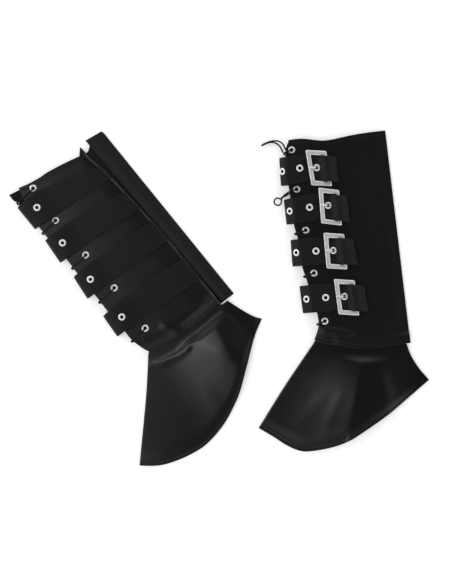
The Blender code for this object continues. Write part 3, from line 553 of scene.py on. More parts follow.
def foldLift(folds, front, height):
    # Each fold is a line of points and lifts by its amount times a profile of the distance off the line:
    # a bell, exp(-(off/width)^2), or, where plane is named, an even slope down from the line, 1 - reach,
    # that levels out softly and is wider at the line's end. Both fade at the line's ends. Width or plane
    # is that of the toe's side and behind that of the heel's, for a line that runs down.
    lift = np.zeros(np.broadcast(front, height).shape)
    for fold in folds:
        line = np.array(fold["line"], float)
        run = runAlong(line)
        steps, passed = np.diff(run), run / run[-1]
        nearest = np.full(lift.shape, 1e9)
        share = np.zeros(lift.shape)
        ahead = np.zeros(lift.shape, bool)
        for k, step in enumerate(steps):
            way = (line[k + 1] - line[k]) / step
            x, y = front - line[k][0], height - line[k][1]
            along = (x * way[0] + y * way[1]) / step
            low = -foldFade["past"] if k == 0 else 0.0
            high = foldFade["past"] if k == len(steps) - 1 else 1.0
            here = passed[k] + np.clip(along, low, high) * (passed[k + 1] - passed[k])
            held = np.clip(along, 0, 1) * step
            off = np.hypot(x - held * way[0], y - held * way[1])
            closer = off < nearest
            nearest = np.where(closer, off, nearest)
            share = np.where(closer, here, share)
            ahead = np.where(closer, way[0] * y > way[1] * x, ahead)
        shape = bell(nearest, 0.0, np.where(ahead, fold.get("width", 9.0), fold["behind"]))
        rising, falling = foldFade["plane" if "plane" in fold else "bell"]
        fade = ease(*rising, share) * (1 - ease(*falling, share))
        if "plane" in fold:
            soft, wider = foldFade["soft"], foldFade["narrow"] + foldFade["widen"] * np.clip(share, 0, 1)
            reach = (np.sqrt(nearest ** 2 + soft ** 2) - soft) / fold["plane"] / wider
            slope = np.where(reach < 0.5, 1 - reach, np.maximum(1.5 - reach, 0) ** 2 / 2)
            shape = np.where(ahead, slope, shape)
        lift = lift + fold["lift"] * fade * shape
    return lift


def lowerZ(cover, front, height):
    raised = ease(*ramps["overStraps"], height - hemHeight(cover, front))
    if not cover["buckled"]:
        raised = raised * ease(*ramps["plainBack"], front)
    return build["panel"] / 2 + build["lift"] * raised


def upperPlainZ(cover, front, height):
    # The solid's level: on the lower panel at the back, a lace's room above it in front
    room = build["gap"] + 0.1 + (build["laceGap"] - build["gap"] - 0.1) * ease(*ramps["laceRoom"], front)
    shaft = lowerZ(cover, front, height) + build["panel"] + room
    if cover["buckled"]:
        shaft = shaft - seamDrop * (1 - ease(0, cover["seamBack"], front))
    return tuck["top"] + (shaft - tuck["top"]) * ease(*ramps["overFoot"], height - hemHeight(cover, front))


def upperZ(cover, front, height):
    return upperPlainZ(cover, front, height) + foldLift(cover["shaftFolds"], front, height)


def faceZ(cover, front, height):
    return upperZ(cover, front, height) + build["panel"] / 2


def plainFace(cover, front, height):
    return upperPlainZ(cover, front, height) + build["panel"] / 2


def frontEdge(cover, height):
    # How far forward the panels reach at a height
    reach = [np.interp(height, dense[:, 1], dense[:, 0])
             for dense in (smoothCurve(cover[k]["front"], 12) for k in ("upperEdges", "lowerEdges"))]
    return float(max(reach))


def toWorld(cover, points):
    # (front, height, z) in a cover's frame to world metres: turned, then moved to the cover's corner
    points = np.asarray(points, float)
    turn = math.radians(cover["turn"])
    x, y = -points[..., 0], points[..., 1]
    return np.stack([x * math.cos(turn) - y * math.sin(turn) + cover["corner"][0],
                     x * math.sin(turn) + y * math.cos(turn) + cover["corner"][1],
                     points[..., 2]], axis=-1) * mm


# Cloth as a closed wall

# Steps in from an edge over its rounded rim, as shares of the rim
rimSteps = (0.0, 0.08, 0.3, 0.65, 1.0)


def graded(length, cell, rim, low=(), high=()):
    # Shares of a length: close together over the rounded rims, at the distances named from either end,
    # and one cell apart between
    ends = rim * np.array(rimSteps)
    first = np.concatenate([ends, np.array(low, float)])
    last = length - np.concatenate([ends, np.array(high, float)])[::-1]
    start, stop = first[-1], last[0]
    count = max(2, int(round((stop - start) / cell)))
    middle = np.linspace(start, stop, count + 1)[1:-1]
    return np.concatenate([first, middle, last]) / length


def spans(points, axis):
    # Distance along grid lines from their first point
    steps = np.linalg.norm(np.diff(points, axis=axis), axis=2)
    zero = np.zeros_like(np.take(steps, [0], axis=axis))
    return np.concatenate([zero, np.cumsum(steps, axis=axis)], axis=axis)


def gridNormals(points):
    along, across = np.gradient(points, axis=0), np.gradient(points, axis=1)
    return unit(np.cross(along, across))


# A hole takes in the points between inner and outer times its radius, and opens within open of it,
# on cloth that lies within deep, in metres, of its plane
holeReach = dict(inner=0.6, outer=1.45, open=0.93, deep=3.0 * mm)


def openHoles(points, holes, radius):
    # Points nearest to each hole's circle move onto it, and the quads inside it are marked as gone
    gone = np.zeros((points.shape[0] - 1, points.shape[1] - 1), bool)
    for centre, axis in holes:
        away = points - centre
        depth = away @ axis
        flat = away - depth[..., None] * axis
        off = np.linalg.norm(flat, axis=2)
        near = ((np.abs(depth) < holeReach["deep"])
                & (off > holeReach["inner"] * radius) & (off < holeReach["outer"] * radius))
        points = np.where(near[..., None], centre + depth[..., None] * axis
                          + flat * (radius / np.maximum(off, 1e-9))[..., None], points)
        middle = (points[:-1, :-1] + points[1:, :-1] + points[:-1, 1:] + points[1:, 1:]) / 4 - centre
        level = middle @ axis
        ringOff = np.linalg.norm(middle - level[..., None] * axis, axis=2)
        gone |= (np.abs(level) < holeReach["deep"]) & (ringOff < holeReach["open"] * radius)
    return points, gone


def wallFaces(rows, columns, gone):
    # Quads of the outer layer, the inner layer turned over, and walls round each hole. Both layers
    # share the outermost ring of points.
    index = np.arange(rows * columns).reshape(rows, columns)
    inner = index + rows * columns
    inner[0], inner[-1], inner[:, 0], inner[:, -1] = index[0], index[-1], index[:, 0], index[:, -1]
    kept = ~gone

    def quads(grid, flip):
        made = np.stack([grid[:-1, :-1], grid[1:, :-1], grid[1:, 1:], grid[:-1, 1:]], axis=-1)[kept]
        return made[:, ::-1] if flip else made

    faces = [quads(index, False), quads(inner, True)]
    padded = np.pad(kept, 1, constant_values=True)
    sides = [((slice(1, -1), slice(0, -2)), index[:-1, :-1], index[1:, :-1], inner[:-1, :-1], inner[1:, :-1]),
             ((slice(1, -1), slice(2, None)), index[1:, 1:], index[:-1, 1:], inner[1:, 1:], inner[:-1, 1:]),
             ((slice(0, -2), slice(1, -1)), index[:-1, 1:], index[:-1, :-1], inner[:-1, 1:], inner[:-1, :-1]),
             ((slice(2, None), slice(1, -1)), index[1:, :-1], index[1:, 1:], inner[1:, :-1], inner[1:, 1:])]
    for window, a, b, lowA, lowB in sides:
        rim = kept & ~padded[window]
        faces.append(np.stack([b[rim], a[rim], lowA[rim], lowB[rim]], axis=-1))
    counts = [len(f) for f in faces]
    return np.concatenate(faces), counts


def facedOut(points, faces):
    # A closed shape whose signed volume comes out negative is turned right side out
    a, b, c, d = [points[faces[:, k]] - points.mean(axis=0) for k in range(4)]
    volume = (np.einsum("ij,ij->i", a, np.cross(b, c)) + np.einsum("ij,ij->i", a, np.cross(c, d))).sum()
    return faces if volume > 0 else faces[:, ::-1]


def tubeFaces(rings, count):
    # Quads along a tube of rings of points
    k = np.arange(rings * count).reshape(rings, count)
    after = np.roll(k, -1, axis=1)
    return np.stack([k[:-1], after[:-1], after[1:], k[1:]], axis=-1).reshape(-1, 4)


def turnedFaces(rings, count):
    # Quads between closed rings of points that go round to the first ring again
    k = np.arange(rings * count).reshape(rings, count)
    ahead = np.roll(k, -1, axis=0)
    return np.stack([k, ahead, np.roll(ahead, -1, axis=1), np.roll(k, -1, axis=1)], axis=-1).reshape(-1, 4)


def secondFinish(made, finish, chosen):
    # The faces marked in chosen take another finish
    made.data.materials.append(finishes[finish])
    made.data.polygons.foreach_set("material_index", chosen.astype(np.int32))


def addMesh(name, points, faces, finish, uv=None):
    # A finished piece: its place is in its mesh
    mesh = bpy.data.meshes.new(name)
    faces = facedOut(points, faces)
    used, back = np.unique(faces, return_inverse=True)
    faces = back.reshape(faces.shape)
    mesh.from_pydata(points[used].tolist(), [], faces.tolist())
    if uv is not None:
        layer = mesh.uv_layers.new(name="UVMap")
        layer.data.foreach_set("uv", uv[used][faces.ravel()].ravel().astype(np.float32))
    mesh.polygons.foreach_set("use_smooth", np.ones(len(faces), bool))
    mesh.materials.append(finishes[finish])
    mesh.update()
    made = bpy.data.objects.new(name, mesh)
    bpy.context.scene.collection.objects.link(made)
    return made


def clothPiece(name, middle, wall, finish, swell=None, holes=(), inside=None, keepOut=None):
    # A closed wall round the middle surface: each layer stands off by half the wall times
    # the root of 1 - (1 - distance from the edge over half the wall)^2, so its edges are round.
    # None of it goes below the surface that the covers lie on. Returns the object and the outer
    # layer's points and normals for sewing on.
    normal = gridNormals(middle)
    middle, gone = openHoles(middle, holes, eyelet["hole"] * mm)
    if keepOut is not None:
        gone |= keepOut
    rim = wall / 2 * mm
    fromEdge = []
    for axis in (0, 1):
        run = spans(middle, axis)
        fromEdge.append(np.minimum(run, np.take(run, [-1], axis=axis) - run))
    near = np.clip(np.minimum(*fromEdge) / rim, 0, 1)
    off = np.sqrt(np.maximum(0.0, 1 - (1 - near) ** 2)) * rim
    if swell is not None:
        off = off * swell
    outer = middle + normal * off[..., None]
    inner = middle - normal * off[..., None]
    rows, columns = middle.shape[:2]
    faces, counts = wallFaces(rows, columns, gone)
    points = np.concatenate([outer.reshape(-1, 3), inner.reshape(-1, 3)])
    points[:, 2] = np.maximum(points[:, 2], 0.0)
    made = addMesh(name, points, faces, finish)
    if inside:
        order = np.arange(len(faces))
        secondFinish(made, inside, (order >= counts[0]) & (order < counts[0] + counts[1]))
    return made, outer, normal


hem = dict(width=7.0, soft=0.8, stitch=5.0, thicker=0.28, footThicker=0.2, groove=0.34, grooveWidth=0.55)
# Distances from an edge at which the hem's grid is close, and the grid's row that its stitches lie on
hemSteps = (3.0, 4.2, 4.7, 5.0, 5.3, 5.8, 6.4, 7.2, 8.2)
stitchIndex = len(rimSteps) + hemSteps.index(hem["stitch"])


def hemSwell(distance, thicker=hem["thicker"]):
    # A turned hem: a thicker band along an edge with a groove where it is stitched; distance in mm
    band = 1 - ease(hem["width"] - hem["soft"], hem["width"] + hem["soft"], distance)
    return thicker * band - hem["groove"] * bell(distance, hem["stitch"], hem["grooveWidth"])


sewing = {}


def sew(cover, outer, normal, skip=0.0):
    # Notes where stitches lie: along a line of surface points, one each pitch
    run = runAlong(outer)
    half = stitch["pitch"] / 2
    spots = np.arange(skip + half, run[-1] / mm - half - skip, stitch["pitch"]) * mm
    if len(spots) < 2:
        return
    centre = read(outer, run, spots)
    ahead = read(outer, run, spots + 0.5 * mm)
    sewing.setdefault(cover["side"], []).append((centre, ahead - centre, read(normal, run, spots)))


def threadPiece(name, runs):
    # Every stitch is one small bead: five rings of six round its length, half sunk in its groove
    centre, along, up = [np.concatenate([run[k] for run in runs]) for k in range(3)]
    along = unit(along)
    side = unit(np.cross(up, along))
    up = np.cross(along, side)
    place = np.array(stitch["rings"]) * stitch["length"] * mm
    size = np.array(stitch["sizes"]) * stitch["width"] / 2 * mm
    turn = np.arange(6) * math.pi / 3
    x = np.repeat(place, 6)
    y = np.outer(size, np.cos(turn)).ravel()
    z = np.outer(size, np.sin(turn)).ravel() * stitch["flatness"]
    points = (centre[:, None] + along[:, None] * x[None, :, None] + side[:, None] * y[None, :, None]
              + up[:, None] * z[None, :, None])
    caps = np.array([[0, 5, 4, 3], [0, 3, 2, 1], [24, 25, 26, 27], [24, 27, 28, 29]])
    bead = np.concatenate([tubeFaces(5, 6), caps])
    faces = (bead[None] + (np.arange(len(centre)) * 30)[:, None, None]).reshape(-1, 4)
    return addMesh(name, points.reshape(-1, 3), faces, "thread")


def roundPiece(name, path, radius, finish):
    # A round rod or cord: rings of points square to the path, its ends closed by shrinking rings
    sides = 12
    path = np.asarray(path, float)
    tangent = unit(np.gradient(path, axis=0))
    side = [np.cross(tangent[0], [0.0, 0.0, 1.0] if abs(tangent[0][2]) < 0.9 else [1.0, 0.0, 0.0])]
    for t in tangent[1:]:
        side.append(side[-1] - t * (side[-1] @ t))
    side = unit(np.array(side))
    up = np.cross(tangent, side)
    shrink = np.array([0.35, 0.75, 1.0])
    push = np.array([0.0, 0.12, 0.45]) * radius
    path = np.concatenate([path[0] + tangent[0] * push[:, None], path[2:-2],
                           path[-1] - tangent[-1] * push[::-1, None]])
    take = np.concatenate([[0, 0, 0], np.arange(2, len(tangent) - 2), [-1, -1, -1]])
    side, up = side[take], up[take]
    grow = np.concatenate([shrink, np.ones(len(path) - 6), shrink[::-1]])
    turn = np.arange(sides) * 2 * math.pi / sides
    points = (path[:, None] + (side[:, None] * np.cos(turn)[None, :, None]
                               + up[:, None] * np.sin(turn)[None, :, None]) * (radius * grow)[:, None, None])
    rings = len(path)
    k = np.arange(rings * sides).reshape(rings, sides)
    points = np.concatenate([points.reshape(-1, 3), path[:1], path[-1:]])
    # A cap is a fan of four-cornered faces over every second side
    fan = np.ones(sides // 2, int)
    start = np.stack([fan * rings * sides, k[0, 0::2], k[0, 1::2], np.roll(k[0], -2)[0::2]], axis=-1)
    stop = np.stack([fan * (rings * sides + 1), np.roll(k[-1], -2)[0::2], k[-1, 1::2], k[-1, 0::2]], axis=-1)
    length = runAlong(path)
    girth = np.arange(sides) / sides
    uv = np.stack(np.broadcast_arrays(length[:, None], girth[None]), axis=-1).reshape(-1, 2)
    uv = np.concatenate([uv, [[0.0, 0.0], [length[-1], 0.0]]])
    faces = np.concatenate([tubeFaces(rings, sides), start[:, ::-1], stop[:, ::-1]])
    return addMesh(name, points, faces, finish, uv)


def panelNode(cover, which):
    # The name of a cover's lower or upper shaft panel, whose good side is the leg's outer or inner one
    return f"{cover['side']}_shaft_{cover[which]}"


def declareSheet(middle):
    # Cross products over the two halves of each quad of the sheet's middle, which are not kept
    one = np.cross(middle[1:, :-1] - middle[:-1, :-1], middle[1:, 1:] - middle[:-1, :-1])
    two = np.cross(middle[1:, 1:] - middle[:-1, :-1], middle[:-1, 1:] - middle[:-1, :-1])


# The pieces of one cover

def tapped(piece, slot, *nodes):
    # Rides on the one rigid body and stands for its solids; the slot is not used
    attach(piece, "root")
    if nodes:
        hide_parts(*nodes)


shaftGrid = dict(height=296.0, width=140.0, cell=2.5)


def shaftPiece(cover, which):
    # The patch of its four edges, at the panel's level; its top is hemmed and its lower edge stitched
    name = panelNode(cover, which)
    level = upperZ if which == "upper" else lowerZ
    rim = build["panel"] / 2
    t = graded(shaftGrid["height"], shaftGrid["cell"], rim, hemSteps, hemSteps)
    s = graded(shaftGrid["width"], shaftGrid["cell"], rim)
    flat = patchGrid(cover[which + "Edges"], s, t)
    middle = toWorld(cover, withLevel(flat, level(cover, flat[..., 0], flat[..., 1])))
    under = which == "lower"
    shift = laceDrop if under else 0.0
    holes = []
    for front, height in cover["lacing"]:
        spot = (front, height - shift, float(level(cover, front, height - shift)))
        holes.append((toWorld(cover, spot), np.array([0.0, 0.0, 1.0])))
    run = spans(middle, 0) / mm
    swell = 1 + hemSwell(run) + hemSwell(run[-1:] - run)
    if under:
        # The lower panel's good side faces the surface it lies on
        middle, swell = middle[:, ::-1], swell[:, ::-1]
    made, outer, normal = clothPiece(name + "_cloth", middle, build["panel"], "shaftLeather", swell, holes,
                                     "lining")
    if not under:
        for row in (stitchIndex, -1 - stitchIndex):
            sew(cover, outer[row], normal[row], skip=3.0)
    tapped(made, "leather", name)
    declareSheet(middle)


# How far the foot's layers lie apart and swell between, in mm, the shares of the layer over which
# they do so from its back and its ends, and the one over which the folds rise
footShape = dict(apart=0.5, swell=1.6, fromBack=0.16, fromEnds=0.15, foldRise=(-0.02, 0.3),
                 height=170.0, width=168.0, across=2.0, along=2.1, frontCut=0.972)


def footZ(cover, s, t, flat):
    # Levels of the two layers: part way up between the shaft panels at the tuck, apart in the middle
    tucked = ease(*ramps["tucked"], flat[..., 1] - hemHeight(cover, flat[..., 0]))
    low = build["panel"] / 2 + tuck["foot"] * tucked
    ends = ease(0, footShape["fromEnds"], t) * (1 - ease(1 - footShape["fromEnds"], 1, t))
    swell = ease(0, footShape["fromBack"], s)[None, :] * ends[:, None]
    billow = foldLift(cover["footFolds"], flat[..., 0], flat[..., 1])
    billow = billow * ease(*footShape["foldRise"], s)[None, :]
    raised = (footShape["swell"] * swell + billow) * (1 - tucked)
    return low, low + build["panel"] + footShape["apart"] + raised


def footPiece(cover):
    # Lower layer, a half turn round the straight front, and the upper layer, as one sheet
    name = cover["side"] + "_foot"
    edges = cover["footEdges"]
    rim = build["panel"] / 2
    t = np.clip(graded(footShape["height"], footShape["across"], rim, hemSteps, (3.0,)), 0, 1)
    layer = graded(footShape["width"], footShape["along"], rim)[:-4] * footShape["frontCut"]
    angle = np.linspace(-math.pi / 2, math.pi / 2, 11)[1:-1]
    radius = (build["panel"] + footShape["apart"]) / 2

    flat = patchGrid(edges, layer, t)
    lower, upper = [withLevel(flat, z) for z in footZ(cover, layer, t, flat)]
    front = patchGrid(edges, np.array([1.0]), t)[:, 0]
    low, high = footZ(cover, np.array([1.0]), t, front[:, None])
    ahead = unit(np.gradient(front, axis=0))
    back = radius * (1 - np.cos(angle)) + build["panel"] / 2
    rise = (high - low) / 2 * np.sin(angle)
    fold = np.stack([front[:, :1] + ahead[:, 1:] * back, front[:, 1:] - ahead[:, :1] * back,
                     (low + high) / 2 + rise], axis=-1)
    # Columns crowd towards the fold, so that its curve doesn't show on the flat beside it
    crowd = np.array([0.4, 0.7, 0.88, 0.96])[None, :, None]
    into = lower[:, -1:] + (fold[:, :1] - lower[:, -1:]) * crowd
    out = fold[:, -1:] + (upper[:, -1:] - fold[:, -1:]) * (1 - crowd[:, ::-1])
    sheet = np.concatenate([lower, into, fold, out, upper[:, ::-1]], axis=1)
    middle = toWorld(cover, sheet).transpose(1, 0, 2)
    run = spans(middle, 1) / mm
    swell = 1 + hemSwell(run, hem["footThicker"])
    made, outer, normal = clothPiece(name + "_cloth", middle, build["panel"], "footLeather", swell, (),
                                     "lining")
    half = layer.size + crowd.size + angle.size // 2
    sew(cover, outer[half + 4:, stitchIndex], normal[half + 4:, stitchIndex], skip=2.0)
    tapped(made, "glossy_leather", name)
    declareSheet(middle)


# The tape's raised selvedges, in mm from its edges, and, on the cover that shows its hooks, the
# ridge and the edge of the plain facing as shares of its width
tape = dict(edgeHigh=0.15, edgeFrom=2.2, edgeWidth=1.2, ridgeHigh=0.22, ridgeAt=0.56, ridgeWidth=0.04,
            facingHigh=0.08, facingEnd=0.54, close=(1.6, 2.2, 2.8))


def closurePiece(cover):
    # The tape's back and front edges run straight from its low to its high end
    size = cover["closure"]
    name = cover["side"] + "_closure"
    rim = build["panel"] / 2
    t = graded(290.0, 2.6, rim)[:, None]
    s = graded(18.0, 1.6, rim, tape["close"], tape["close"])[None, :]
    place = blend((blend(size["back"], t), blend(size["front"], t)), s)
    height = blend((size["low"], blend(size["high"], s)), t)
    if cover["buckled"]:
        z = upperPlainZ(cover, place, height) - build["panel"] - 2 * build["gap"]
    else:
        z = lowerZ(cover, place, height) + build["panel"] + build["gap"]
    middle = toWorld(cover, np.stack([place, height, z], axis=-1))
    edge = spans(middle, 1) / mm
    edge = np.minimum(edge, edge[:, -1:] - edge)
    swell = 1 + tape["edgeHigh"] * bell(edge, tape["edgeFrom"], tape["edgeWidth"])
    if not cover["buckled"]:
        swell = (swell + tape["ridgeHigh"] * bell(s, tape["ridgeAt"], tape["ridgeWidth"])
                 + tape["facingHigh"] * (1 - ease(tape["facingEnd"] - 0.04, tape["facingEnd"] + 0.04, s)))
    made, outer, normal = clothPiece(name + "_tape", middle, build["panel"], "hook", swell)
    if not cover["buckled"]:
        # The back half is a plain facing of the cloth
        rows, columns = middle.shape[0] - 1, middle.shape[1] - 1
        order = np.arange(len(made.data.polygons))
        upper, facing = order < rows * columns, order % columns < columns * tape["facingEnd"]
        secondFinish(made, "strapLeather", upper & facing)
        for column in (6, -7):
            sew(cover, outer[:, column], normal[:, column])
    tapped(made, "leather", name)
    declareSheet(middle)


# The binding's roll, in mm from the panel's back edge, and the corners of its loose end
binding = dict(radius=1.9, ahead=1.5, above=0.35, wave=0.2, endDrop=1.0,
               corners=dict(left=(42.0, 278.0), right=(53.0, 280.0), tip=(43.4, 290.0), turned=(44.2, 290.0)))


def bindingPiece(cover):
    # A glossy rolled edge along the upper panel's back, that wavers a little
    share = np.linspace(0, 1, 160)
    flat = alongCurve(cover["upperEdges"]["back"], share)
    z = faceZ(cover, flat[:, 0] + binding["ahead"] + 0.1, flat[:, 1]) + binding["above"]
    route = np.column_stack([flat[:, 0] + binding["ahead"] + binding["wave"] * np.sin(share * 47), flat[:, 1],
                             z + binding["wave"] * np.sin(share * 61) + 0.15 * np.sin(share * 29)])
    made = roundPiece(cover["side"] + "_back_binding", toWorld(cover, route), binding["radius"] * mm,
                      "footLeather")
    tapped(made, "glossy_leather")

    # Its loose pointed end past the panel's top edge
    left, right, tip, turned = binding["corners"].values()
    share = graded(10.0, 0.8, 0.5)
    flat = patchGrid(dict(bottom=[left, right], top=[tip, turned], back=[left, tip], front=[right, turned]),
                     share, share)
    middle = toWorld(cover, withLevel(flat, np.full(flat.shape[:2], z[-1] - binding["endDrop"])))
    made = clothPiece(cover["side"] + "_binding_end", middle, 1.0, "strapLeather")[0]
    tapped(made, "leather")


# Straps

# The strap's grid, the groove that its edge stitches lie in, and the ridge that a heel bar presses up
strapShape = dict(width=38.0, cell=1.3, across=2.4, loopTop=15.4,
                  close=(1.7, 2.3, 2.6, 2.9, 3.6), closeEnds=(1.7, 2.6, 3.5),
                  groove=0.16, grooveAt=2.6, grooveWidth=0.5, puff=0.05, ridge=0.45, ridgeWidth=0.9)


def frontOf(pair):
    # How far forward the middle of a strap's edge pair lies
    return (pair[0][0] + pair[1][0]) / 2


def prongHole(buckle):
    return (buckle["spot"][0] - buckleSize["left"] - buckleSize["holeBack"],
            buckle["spot"][1] - buckleSize["holeDrop"])


def strapPlace(strap, reach, across):
    # The strap's upper and lower edges run through fold, bend and end; across mixes them
    names = ["fold", "bend", "end"]
    middle = [frontOf(strap[k]) for k in names]
    share = np.interp(middle[0] - np.asarray(reach, float), middle[::-1], [2.0, 1.0, 0.0])
    upper, lower = [np.stack([np.interp(share, [0, 1, 2], [strap[k][edge][axis] for k in names])
                              for axis in (0, 1)], axis=-1) for edge in (0, 1)]
    return upper[..., None, :] * (1 - across[:, None]) + lower[..., None, :] * across[:, None]


def strapProfile(cover, strap, buckle):
    # Where the strap's middle runs: under the cover and round the front z is from the surface, along
    # the top it is the ride above the panel's face
    floorStrap = build["strap"] / 2
    fold = frontOf(strap["fold"])
    under = fold - cover["underEnd"]
    last = fold - frontOf(strap["end"])
    rows = [("under", under * k, floorStrap) for k in (1.0, 0.75, 0.5, 0.25)]
    rows += [("under", 7.0, floorStrap), ("under", 3.2, floorStrap + 0.7), ("under", 0.9, floorStrap + 2.6)]
    if cover["buckled"]:
        front, _, tilt = strap["eyes"][0]
        slant = math.radians(tilt)
        reach, half, top = fold - front, eyelet["half"], strapShape["loopTop"]
        second, bar = fold - strap["eyes"][1][0], fold - buckle["spot"][0]
        heel = bar + buckleSize["width"] - buckleSize["heel"] / 2
        rows += [("under", 0.0, floorStrap + 4.6),
                 ("loop", max(0.2, reach - half * math.cos(slant)), top - 2 * half * math.sin(slant)),
                 ("loop", reach + half * math.cos(slant), top),
                 ("top", second - half, build["rideEyelet"]),
                 ("top", second + half, build["rideEyelet"] - 0.5),
                 ("top", bar - 1.2, build["rideBar"]),
                 ("top", bar + buckleSize["left"] - 0.2, build["rideBar"]),
                 ("top", bar + buckleSize["left"] + 10.4, build["rideBar"]),
                 ("top", heel - 4.5, build["rideHeel"]), ("top", heel + 2.4, build["rideHeel"]),
                 ("top", last, build["rideTail"])]
        return rows
    reach = fold - strap["eyes"][0][0]
    rows += [("under", 0.0, floorStrap + 4.8), ("loop", 1.2, 9.6), ("loop", 4.6, 12.6),
             ("loop", 9.4, 14.0), ("loop", reach - 5.4, 14.3), ("loop", reach + 5.4, 13.7),
             ("top", reach + 13, 3.6), ("top", reach + 24, build["ridePlain"] + 0.3)]
    return rows + [("top", float(r), build["ridePlain"]) for r in np.linspace(reach + 36, last, 6)]


def strapGrid(cover, strap, kind, reach, z, across, level=faceZ):
    # Points of the strap's middle at each reach back from the fold and each share across it
    reach, z = np.atleast_1d(reach).astype(float), np.atleast_1d(z).astype(float)
    if kind == "under":
        fold = [np.array(p, float) for p in strap["fold"]]
        corner = fold[0] * (1 - across[:, None]) + fold[1] * across[:, None]
        flat = corner[None] + np.stack([-reach, np.zeros(reach.size)], axis=-1)[:, None]
    else:
        flat = strapPlace(strap, reach, across)
    height = np.broadcast_to(z[:, None], flat.shape[:2])
    if kind == "top":
        height = height + level(cover, flat[..., 0], flat[..., 1])
    return withLevel(flat, height)


def strapWaist(row, strap, buckle):
    # Between the bars across the buckle the strap is drawn in
    kind, reach = row[:2]
    if buckle is None or kind != "top":
        return 1.0
    bar = frontOf(strap["fold"]) - buckle["spot"][0]
    edges = strapPlace(strap, np.array([reach]), np.array([0.0, 1.0]))[0]
    full = np.linalg.norm(edges[0] - edges[1])
    room = buckleSize["height"] - 2 * buckleSize["cross"] - 2.6
    narrow = min(1.0, room / full)
    past = ease(bar + 16.0, bar + buckleSize["width"] - 5.0, reach)
    inside = ease(bar - 3.0, bar - 1.0, reach) * (1 - past)
    return float(1 - (1 - narrow) * inside)


def strapMiddle(cover, strap, buckle):
    # The rows of the profile joined by straight spans, then rounded by averaging each row with its
    # neighbours a few times
    cell, close, closeEnds = strapShape["cell"], strapShape["close"], strapShape["closeEnds"]
    rows = strapProfile(cover, strap, buckle)
    across = graded(strapShape["width"], strapShape["across"], build["strap"] / 2, close, close)[::-1]
    waist = [strapWaist(row, strap, buckle) for row in rows]
    blocks = []
    for k, (a, b) in enumerate(zip(rows, rows[1:])):
        first = strapGrid(cover, strap, *a, 0.5 + (across - 0.5) * waist[k])[0]
        last = strapGrid(cover, strap, *b, 0.5 + (across - 0.5) * waist[k + 1])[0]
        steps = max(1, int(round(np.linalg.norm(last - first, axis=1).max() / cell)))
        share = np.arange(steps) / steps
        block = first[None] * (1 - share[:, None, None]) + last[None] * share[:, None, None]
        if a[0] == b[0] == "top":
            ride = a[2] + (b[2] - a[2]) * share
            block[..., 2] = ride[:, None] + faceZ(cover, block[..., 0], block[..., 1])
        blocks.append(block)
    blocks.append(last[None])
    middle = np.concatenate(blocks)
    for _ in range(4):
        middle[1:-1] = (middle[:-2] + 2 * middle[1:-1] + middle[2:]) / 4
    run = spans(middle, 0)[:, middle.shape[1] // 2]
    shares = graded(run[-1], cell, build["strap"] / 2, closeEnds, closeEnds) * run[-1]
    index = np.interp(shares, run, np.arange(len(run)))
    low = np.clip(index.astype(int), 0, len(run) - 2)
    part = (index - low)[:, None, None]
    return middle[low] * (1 - part) + middle[low + 1] * part


def strapEyes(cover, strap, buckle):
    # Eyelet centres on the strap's middle, each with its outward direction
    profile = strapProfile(cover, strap, buckle)
    spots = [eye[:2] for eye in strap["eyes"]]
    if buckle:
        spots.append(prongHole(buckle))
    upper = [row for row in profile if row[0] != "under"]
    found = []
    for front, height in spots:
        reach = frontOf(strap["fold"]) - front
        a, b = next(pair for pair in zip(upper, upper[1:]) if pair[0][1] <= reach <= pair[1][1])
        half = np.array([0.5])
        ends = [strapGrid(cover, strap, *row, half, plainFace)[0, 0] for row in (a, b)]
        share = (reach - a[1]) / (b[1] - a[1])
        middle = ends[0] * (1 - share) + ends[1] * share
        sides = strapGrid(cover, strap, *a, np.array([0.0, 1.0]), plainFace)[0]
        # A front step is a step along -x, so the cross product is taken between turned vectors
        along, over = [toWorld(dict(cover, corner=(0, 0)), v[1] - v[0]) for v in (ends, sides)]
        normal = unit(np.cross(along, over))
        found.append((toWorld(cover, (middle[0], height, middle[2])), normal if normal[2] > 0 else -normal))
    return found


def strapPiece(cover, number):
    name = f"{cover['side']}_strap_{number + 1}"
    strap = cover["straps"][number]
    buckle = cover["buckles"][number] if cover["buckled"] else None
    middle = strapMiddle(cover, strap, buckle)
    pressed = np.zeros(middle.shape[:2])
    if buckle:
        # The heel bar shows through the strap as a narrow ridge
        heel = buckle["spot"][0] - buckleSize["width"] + buckleSize["heel"] / 2
        off = middle[..., 0] - heel + 1.2
        pressed = bell(off, 0.0, strapShape["ridgeWidth"]) * (middle[..., 2] > 9.0)
    middle = toWorld(cover, middle)
    run = spans(middle, 1) / mm
    edge = np.minimum(run, run[:, -1:] - run)
    groove = bell(edge, strapShape["grooveAt"], strapShape["grooveWidth"])
    swell = 1 - strapShape["groove"] * groove + strapShape["puff"] * ease(3.0, 9.0, edge)
    swell = swell + strapShape["ridge"] * pressed
    eyes = strapEyes(cover, strap, buckle)
    made, outer, normal = clothPiece(f"{name}_leather", middle, build["strap"], "strapLeather", swell, eyes)
    lane = len(rimSteps) + strapShape["close"].index(strapShape["grooveAt"])  # the groove's column
    for column in (lane, -1 - lane):
        sew(cover, outer[:, column], normal[:, column], skip=1.5)
    sew(cover, outer[-7, lane:-lane], normal[-7, lane:-lane])
    tapped(made, "leather", name)
    declareSheet(middle)
    for k, (centre, axis) in enumerate(eyes):
        face = centre + axis * build["strap"] / 2 * mm
        eyeletPiece(f"{cover['side']}_eyelet_{number + 1}_{k + 1}", face, axis, build["strap"] - 0.3)


# Metal

# Outline of an eyelet's domed flange with its rolled lip, as radius and height over the cloth
flange = [(2.42, 0.25), (2.50, 0.72), (2.85, 1.02), (3.35, 1.12), (3.95, 1.00), (4.50, 0.72), (4.82, 0.46),
          (4.85, 0.33), (4.70, 0.30), (2.82, 0.30), (2.80, 0.10)]


